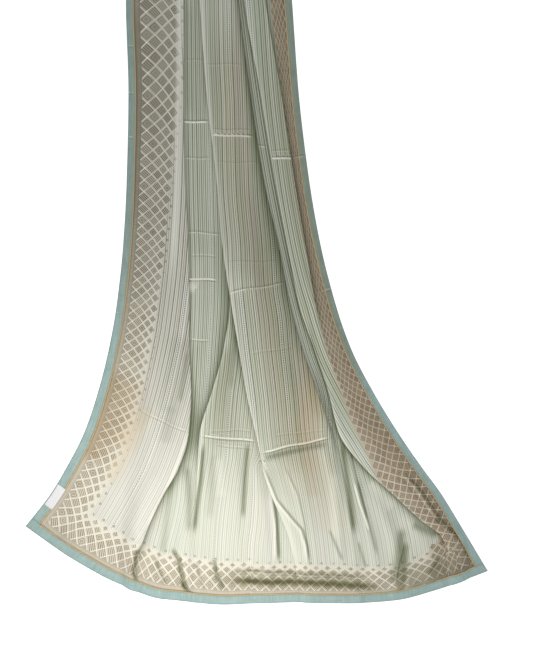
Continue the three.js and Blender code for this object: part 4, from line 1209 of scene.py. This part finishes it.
# Striped field with a border of diamonds that shrink away from the braid, and a ladder beside it.
def clothMaterial():
    material, tree, shader = newMaterial(
        "silkyCloth",
        {"Roughness": 0.5, "Sheen Weight": 0.1, "Sheen Roughness": 0.4, "Specular IOR Level": 0.35},
    )
    weft, warp = uvParts(tree, "Cloth")
    p, q = uvParts(tree, "Weave")
    colour, within = fieldColour(tree, weft, warp)
    lit = below(tree, warp, *border["lit"])
    upper = above(tree, warp, *border["upper"])
    onRight = above(tree, weft, *border["right"])

    def threadColour(name, browner, share):
        plain = mixColour(tree, lit, weave[name], weave[name + "Lit"])
        return mixColour(tree, times(tree, onRight, share), plain, weave[browner])

    ground = threadColour("ground", "bronze", 0.8)
    line = threadColour("line", "bronzeLine", 0.7)
    taupe = threadColour("taupe", "bronzeDark", 0.8)
    taupePale = threadColour("taupePale", "bronzePale", 0.8)

    # diamonds, hatched or ringed at random
    u, nearU, nearV, reach, column = borderMasks(tree, p, q)
    inside = maths(tree, "SUBTRACT", diamondSize(tree, weft, column, upper), reach)
    inDiamond = above(tree, inside, 0.03, 0.035)
    one, two, _ = randomOf(tree, scaled(tree, nearU, 17.0, nearV))
    hatch = above(tree, wave(tree, u, 0.2), 0.5, 0.38)
    rings = above(tree, wave(tree, reach, 0.36, 1.0), 0.5, 0.38)
    pickRings = above(tree, two, 0.55, 0.01)
    pickHatch = maths(tree, "SUBTRACT", 1.0, pickRings)
    filling = maths(tree, "ADD", times(tree, hatch, pickHatch), times(tree, rings, pickRings))
    filling = scaled(tree, filling, 0.85, scaled(tree, one, 0.2, -0.04))
    diamond = mixColour(tree, filling, taupe, taupePale)

    # the ground between them, speckled and paler inwards
    nearest = maths(tree, "MINIMUM", p, q)
    isBorder = below(tree, nearest, scaled(tree, onRight, 2.4, border["ends"]), 0.4)
    speckle = above(tree, noiseOf(tree, weft, warp, 0.5, 0.5), 0.5, 0.1)
    speckled = mixColour(tree, speckle, ground, line)
    whiter = times(tree, above(tree, nearest, 3.4, 2.2), scaled(tree, onRight, -0.4, 0.4))
    paleGround = mixColour(tree, whiter, mixColour(tree, 0.4, ground, speckled), line)
    colour = mixColour(tree, maths(tree, "MULTIPLY", isBorder, 0.92), colour, paleGround)
    colour = mixColour(tree, inDiamond, colour, diamond)

    # dotted triangles and the ladder between the diamonds and the braid, with the pale zigzag between
    outside = below(tree, column, -0.5, 0.02)
    dots = maths(tree, "MULTIPLY", wave(tree, p, 0.24), wave(tree, q, 0.24))
    dotted = mixColour(tree, above(tree, dots, 0.36, 0.2), mixColour(tree, 0.2, taupe, taupePale), ground)
    colour = mixColour(tree, times(tree, outside, 0.95), colour, dotted)
    latticeEnd = scaled(tree, onRight, 2.6, scaled(tree, upper, 1.2, border["latticeEnds"]))
    inLattice = below(tree, nearest, latticeEnd, 1.0)
    lattice = times(tree, above(tree, reach, 0.93, 0.04), above(tree, column, -1.5, 0.1), inLattice)
    colour = mixColour(tree, times(tree, lattice, 0.8), colour, line)
    zigzag = times(tree, above(tree, reach, 0.9, 0.05), band(tree, nearest, -1.1, 0.2, 0.2))
    colour = mixColour(tree, times(tree, zigzag, 0.7), colour, weave["lineLit"])
    ladder = below(tree, nearest, -0.72, 0.03)
    across = wave(tree, maths(tree, "MAXIMUM", p, q), 0.25)
    rungs = times(tree, band(tree, nearest, -1.26, -0.9, 0.05), across)
    ladderColour = mixColour(tree, 0.3, taupe, taupePale)
    ladderColour = mixColour(tree, above(tree, rungs, 0.5, 0.2), ladderColour, ground)
    ladderColour = mixColour(tree, times(tree, lit, 0.35), ladderColour, ground)
    colour = mixColour(tree, times(tree, ladder, 0.92), colour, ladderColour)
    tree.links.new(paintedShading(tree, colour), shader.inputs["Base Color"])

    threads = maths(tree, "ADD", wave(tree, weft, 1.1), wave(tree, warp, 1.3))
    height = maths(tree, "ADD", maths(tree, "MULTIPLY", threads, 0.2), maths(tree, "MULTIPLY", within, 0.4))
    height = maths(tree, "ADD", height, maths(tree, "MULTIPLY", inDiamond, 0.8))
    addBump(tree, shader, height, 0.3, 0.0004)
    return material


# Teal satin with fine cross threads, lighter and darker along its length.
def bindingMaterial():
    material, tree, shader = newMaterial(
        "tealBinding",
        {"Roughness": 0.45, "Sheen Weight": 0.1, "Sheen Roughness": 0.4, "Specular IOR Level": 0.4},
    )
    weft, warp = uvParts(tree, "Cloth")
    uneven = noiseOf(tree, weft, warp, 0.035, 0.035, 4.0)
    lines = noiseOf(tree, weft, warp, 0.7, 0.02)
    crossLines = noiseOf(tree, weft, warp, 0.02, 0.6)
    colour = mixColour(tree, uneven, (0.26, 0.37, 0.35), (0.44, 0.58, 0.55))
    colour = mixColour(tree, times(tree, above(tree, lines, 0.55, 0.1), 0.35), colour, (0.58, 0.74, 0.70))
    crossing = times(tree, above(tree, crossLines, 0.58, 0.08), 0.3)
    colour = mixColour(tree, crossing, colour, (0.22, 0.36, 0.35))
    tree.links.new(paintedShading(tree, colour), shader.inputs["Base Color"])
    threads = maths(tree, "ADD", wave(tree, weft, 0.9), wave(tree, warp, 0.9))
    addBump(tree, shader, maths(tree, "ADD", threads, uneven), 0.4, 0.0004)
    return material


# Twisted gold thread; the dark and bright bands along its twist are painted shade and painted highlight.
def braidMaterial():
    material, tree, shader = newMaterial("goldBraid", {"Roughness": 0.38, "Metallic": 0.3})
    weft, warp = uvParts(tree, "Cloth")
    twist = wave(tree, scaled(tree, weft, 1.4, warp), 2.4)
    colour = mixColour(tree, twist, (0.34, 0.22, 0.09), (0.88, 0.67, 0.37))
    tree.links.new(colour, shader.inputs["Base Color"])
    addBump(tree, shader, twist, 0.7, 0.0005)
    return material


def plainMaterial(name, colour, roughness, threadsApart):
    material, tree, shader = newMaterial(name, {"Base Color": (*colour, 1), "Roughness": roughness})
    weft, warp = uvParts(tree, "Cloth")
    threads = maths(tree, "ADD", wave(tree, weft, threadsApart), wave(tree, warp, threadsApart))
    addBump(tree, shader, threads, 0.3, 0.0003)
    return material


silky = clothMaterial()
teal = bindingMaterial()
gold = braidMaterial()
white = plainMaterial("labelTape", (0.86, 0.84, 0.85), 0.6, 0.8)
print("saree: materials ready")


def layPiece(piece, material, node):
    piece.data.materials.append(material)
    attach(piece, "root")
    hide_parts(node)


for name in stretchOrder:
    grid, edges = gridOf(allRows, name)
    layPiece(clothMesh(name, grid, edges), silky, name)

for name in ("edging_left", "edging_right"):
    grid, edges = gridOf(allRows, name)
    piece = clothMesh(name, grid, edges, wall=cloth["binding"])
    layPiece(piece, teal, name)


def hemRow(rows, names):
    grids = [gridOf(rows, name)[0] for name in names]
    return np.concatenate(grids, axis=1), gridOf(rows, names[0])[1]


wholeWidth = ("edging_left", *stretchOrder, "edging_right")
grid, edges = hemRow(hemRows, wholeWidth)
piece = clothMesh("edging_hem", grid, edges, wall=cloth["binding"])
layPiece(piece, teal, "edging_hem")
print("saree: cloth laid")

# Gold braid on the seams of the binding, round on top. The hem's stops at the side bindings.
crown = braid["crown"] * np.sin(np.linspace(0, math.pi, braid["columns"]))


def layBraid(side, grid, edges):
    name = "gold_trim_" + side
    layPiece(clothMesh(name, grid, edges, lift=braid["lift"], wall=braid["wall"]), gold, name)


braidStart = cloth["hemEdging"] - braid["width"] / 2
braidSections = [sectionPoints(along) for along in np.linspace(braidStart, cloth["end"], rowCount)]
for side in ("left", "right"):
    grid, edges = gridOf(braidSections, "braid_" + side)
    grid[..., 2] += crown
    layBraid(side, grid, edges)
braidAlong = cloth["hemEdging"] + braid["width"] * np.linspace(-0.5, 0.5, braid["columns"])
grid, edges = hemRow([sectionPoints(along) for along in braidAlong], stretchOrder)
grid = grid[:, 1:-1]
grid[..., 2] += crown[:, None]
layBraid("hem", grid, edges)

labelRows = [sectionPoints(along) for along in label["along"] + label["length"] * np.linspace(0, 1, 29)]
grid, edges = gridOf(labelRows, "label")
piece = clothMesh("label", grid, edges, lift=label["lift"], wall=label["wall"])
layPiece(piece, white, "label")
print("saree: braid and label laid")

# The rest of the length, folded up and down on itself at the waist end.
stack = {
    "start": 1545.0,
    "front": 1549.0,
    "back": 1843.0,
    "width": 402.0,
    "layers": 13,
    "pitch": 4.0,
    "wall": 3.5,
    "columns": 90,
}


# The stack's lengthways path, up and down, as places along the cloth and heights.
def stackPath():
    path = []
    radius = stack["pitch"] / 2
    for layer in range(stack["layers"]):
        z = radius + layer * stack["pitch"]
        uneven = 1.8 * math.sin(2.4 * layer) + 1.2 * math.sin(4.1 * layer + 1)
        front, back = stack["front"] + 2 + uneven, stack["back"] - 4 + uneven
        ends = (back, front) if layer % 2 else (front, back)
        for share in np.linspace(0, 1, 15):
            path.append((ends[0] + (ends[1] - ends[0]) * share, z))
        if layer < stack["layers"] - 1:
            turnSide = -1 if layer % 2 else 1
            for angle in np.linspace(0, math.pi, 9)[1:-1]:
                turned = ends[1] + turnSide * radius * math.sin(angle)
                path.append((turned, z + radius * (1 - math.cos(angle))))
    return np.array(path)


def stackGrid():
    half = stack["width"] / 2
    centre = (float(plan["left"](stack["start"])) + float(plan["right"](stack["start"]))) / 2
    x = np.linspace(centre - half, centre + half, stack["columns"])
    last = allRows[-1]
    lines = [float(plan[name](stack["start"])) for name in planNames[1:]]
    weft = np.zeros(len(x))
    for name, low, high in zip(stretchOrder, lines[:-1], lines[1:]):
        order = np.argsort(last[name][:, 0])
        inside = (x >= low) & (x <= high)
        weft[inside] = np.interp(x[inside], last[name][order, 0], last[name][order, 6])
    weft[x < lines[0]] = cloth["edging"] + 1
    weft[x > lines[-1]] = cloth["width"] - cloth["edging"] - 1
    grooves = sum(np.exp(-(((x - line) / 3.5) ** 2)) for line in lines[1:-1])
    path = stackPath()
    length = np.concatenate([[0], np.cumsum(np.hypot(*np.diff(path, axis=0).T))])
    grid = np.zeros((len(path), len(x), 9))
    grid[..., 0] = x + 1.2 * np.sin(path[:, 1:] * 1.7)
    grid[..., 1] = path[:, :1]
    higher = path[:, 1:] / (stack["layers"] * stack["pitch"])
    sink = 1 - higher * 0.06 * np.exp(-(((x - centre) / 170) ** 6))
    grid[..., 2] = path[:, 1:] * sink - 0.25 * grooves
    grid[..., 3] = 1
    grid[..., 6], grid[..., 7], grid[..., 8] = weft, cloth["end"] + length[:, None], x
    return grid, float(length[-1]) * mm


grid, stackLength = stackGrid()
normal = normalOf(np.gradient(grid[..., :3], axis=1), np.gradient(grid[..., :3], axis=0))
farOff = {name: np.full((grid.shape[0], 1), 1e4) for name in foldRows}
maps = clothMaps("folded_length", grid, farOff)
piece = wallMesh("folded_length", grid[..., :3], normal, 0.0, stack["wall"], 0.1, maps)
layPiece(piece, silky, "folded_length")
print("saree: folded length stacked")


# A stitch's corners: along and across it as shares of its half sizes, and 0 below or 1 on top.
boxCorners = (
    *((-1, -1, 0), (1, -1, 0), (1, 1, 0), (-1, 1, 0)),
    *((-0.6, -0.5, 1), (0.6, -0.5, 1), (0.6, 0.5, 1), (-0.6, 0.5, 1)),
)
boxFaces = np.array([(3, 2, 1, 0), (4, 5, 6, 7), (0, 1, 5, 4), (1, 2, 6, 5), (2, 3, 7, 6), (3, 0, 4, 7)])


# Small stitches: boxes of thread along a path, in millimetres.
def stitchBoxes(path, spacing, size):
    steps = np.linalg.norm(np.diff(path, axis=0), axis=1)
    length = np.concatenate([[0], np.cumsum(steps)])
    at = np.arange(spacing / 2, length[-1] - size[0], spacing)
    middle = np.stack([np.interp(at, length, path[:, i]) for i in range(3)], 1)
    ahead = np.stack([np.interp(at + 1, length, path[:, i]) for i in range(3)], 1)
    forward = ahead - middle
    forward /= np.linalg.norm(forward, axis=1, keepdims=True)
    side = np.cross([0, 0, 1], forward)
    side /= np.linalg.norm(side, axis=1, keepdims=True)
    over = np.cross(forward, side)
    corners = []
    for a, b, c in boxCorners:
        corners.append(middle + forward * a * size[0] / 2 + side * b * size[1] / 2 + over * c * size[2])
    return np.stack(corners, 1)


def stitchPiece(name, paths, spacing, size, material):
    boxes = np.concatenate([stitchBoxes(path, spacing, size) for path in paths])
    faces = (np.arange(len(boxes))[:, None, None] * 8 + boxFaces).reshape(-1, 4)
    points = boxes.reshape(-1, 3)
    piece = addMesh(name, placedPoints(points), faces, {"Cloth": points[:, :2] * mm})
    piece.data.materials.append(material)
    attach(piece, "root")


# A path on one of the side bindings, at a place in from the cloth's edge.
def linePath(name, place, lift):
    out = []
    for row in allRows:
        part = row[name][np.argsort(row[name][:, 8])]
        at = part[0, 8] + place if name == "edging_left" else part[-1, 8] - place
        out.append([np.interp(at, part[:, 8], part[:, i]) for i in range(3)])
    path = np.array(out)
    path[:, 2] += lift
    return path


thread = plainMaterial("tealThread", (0.36, 0.50, 0.47), 0.6, 0.6)
whiteThread = plainMaterial("whiteThread", (0.72, 0.70, 0.72), 0.6, 0.6)
onCloth = cloth["binding"] / 2 - 0.05
bindingPaths = [
    linePath(name, place, onCloth + 0.1) for name in ("edging_left", "edging_right") for place in (2.5, 14.5)
]
for place in (3.0, 17.0):
    row = hemRow([sectionPoints(place)], wholeWidth)[0]
    path = row[0][:, :3].copy()
    path[:, 2] += detail("edging_hem", row)[0] + onCloth
    bindingPaths.append(path)
stitchPiece("binding_stitches", bindingPaths, 4.6, (3.0, 0.5, 0.35), thread)

labelGrid = gridOf(labelRows, "label")[0]
labelTop = label["lift"] + label["wall"] / 2 - 0.05
rim = [labelGrid[1:-1, 1, :3], labelGrid[1:-1, -2, :3], labelGrid[1, 1:-1, :3], labelGrid[-2, 1:-1, :3]]
labelPaths = [path + np.array([0, 0, labelTop]) for path in rim]
stitchPiece("label_stitches", labelPaths, 2.6, (1.7, 0.4, 0.3), whiteThread)
print("saree: stitches sewn")


# Floor, light and camera.
view = {
    "centre": (22.3, 636.9),  # middle of the frame, from the centre line and the hem
    "frameHeight": 1565.0,
    "lens": 50.0,
    "sensor": 36.0,
}


def stageFloor():
    size = 6.0
    mesh = bpy.data.meshes.new("floor")
    corners = [(-size, -size, 0), (size, -size, 0), (size, size, 0), (-size, size, 0)]
    mesh.from_pydata(corners, [], [(0, 1, 2, 3)])
    floor = bpy.data.objects.new("floor", mesh)
    bpy.context.collection.objects.link(floor)
    values = {
        "Base Color": (0.9, 0.9, 0.9, 1),
        "Roughness": 0.9,
        "Emission Color": (1, 1, 1, 1),
        "Emission Strength": 0.62,
    }
    mesh.materials.append(newMaterial("paleFloor", values)[0])


def areaLight(name, at, target, size, power, colour=(1, 1, 1)):
    light = bpy.data.lights.new(name, "AREA")
    light.shape = "ELLIPSE"
    light.size, light.size_y = size
    light.energy = power
    light.color = colour
    lamp = bpy.data.objects.new(name, light)
    bpy.context.collection.objects.link(lamp)
    lamp.location = at
    lamp.rotation_euler = (Vector(target) - Vector(at)).to_track_quat("-Z", "Y").to_euler()


stageFloor()
hem = (shiftX, shiftY + 0.16)
areaLight("hemLight", (hem[0] - 0.16, hem[1] - 0.03, 0.5), (hem[0] - 0.13, hem[1], 0), (0.95, 0.3), 2.3,
          (1.0, 0.98, 0.94))
world = bpy.data.worlds.new("studio")
bpy.context.scene.world = world
world.use_nodes = True
world.node_tree.nodes["Background"].inputs[0].default_value = (0.96, 0.99, 1.0, 1)
world.node_tree.nodes["Background"].inputs[1].default_value = 0.61

camera = bpy.data.cameras.new("camera")
camera.lens = view["lens"]
camera.sensor_width = view["sensor"]
cameraObject = bpy.data.objects.new("camera", camera)
bpy.context.collection.objects.link(cameraObject)
distance = view["frameHeight"] * mm / view["sensor"] * view["lens"]
cameraObject.location = (shiftX + view["centre"][0] * mm, shiftY + view["centre"][1] * mm, distance)
bpy.context.scene.camera = cameraObject
bpy.context.scene.view_settings.view_transform = "Standard"
print("saree: stage, lights and camera set")
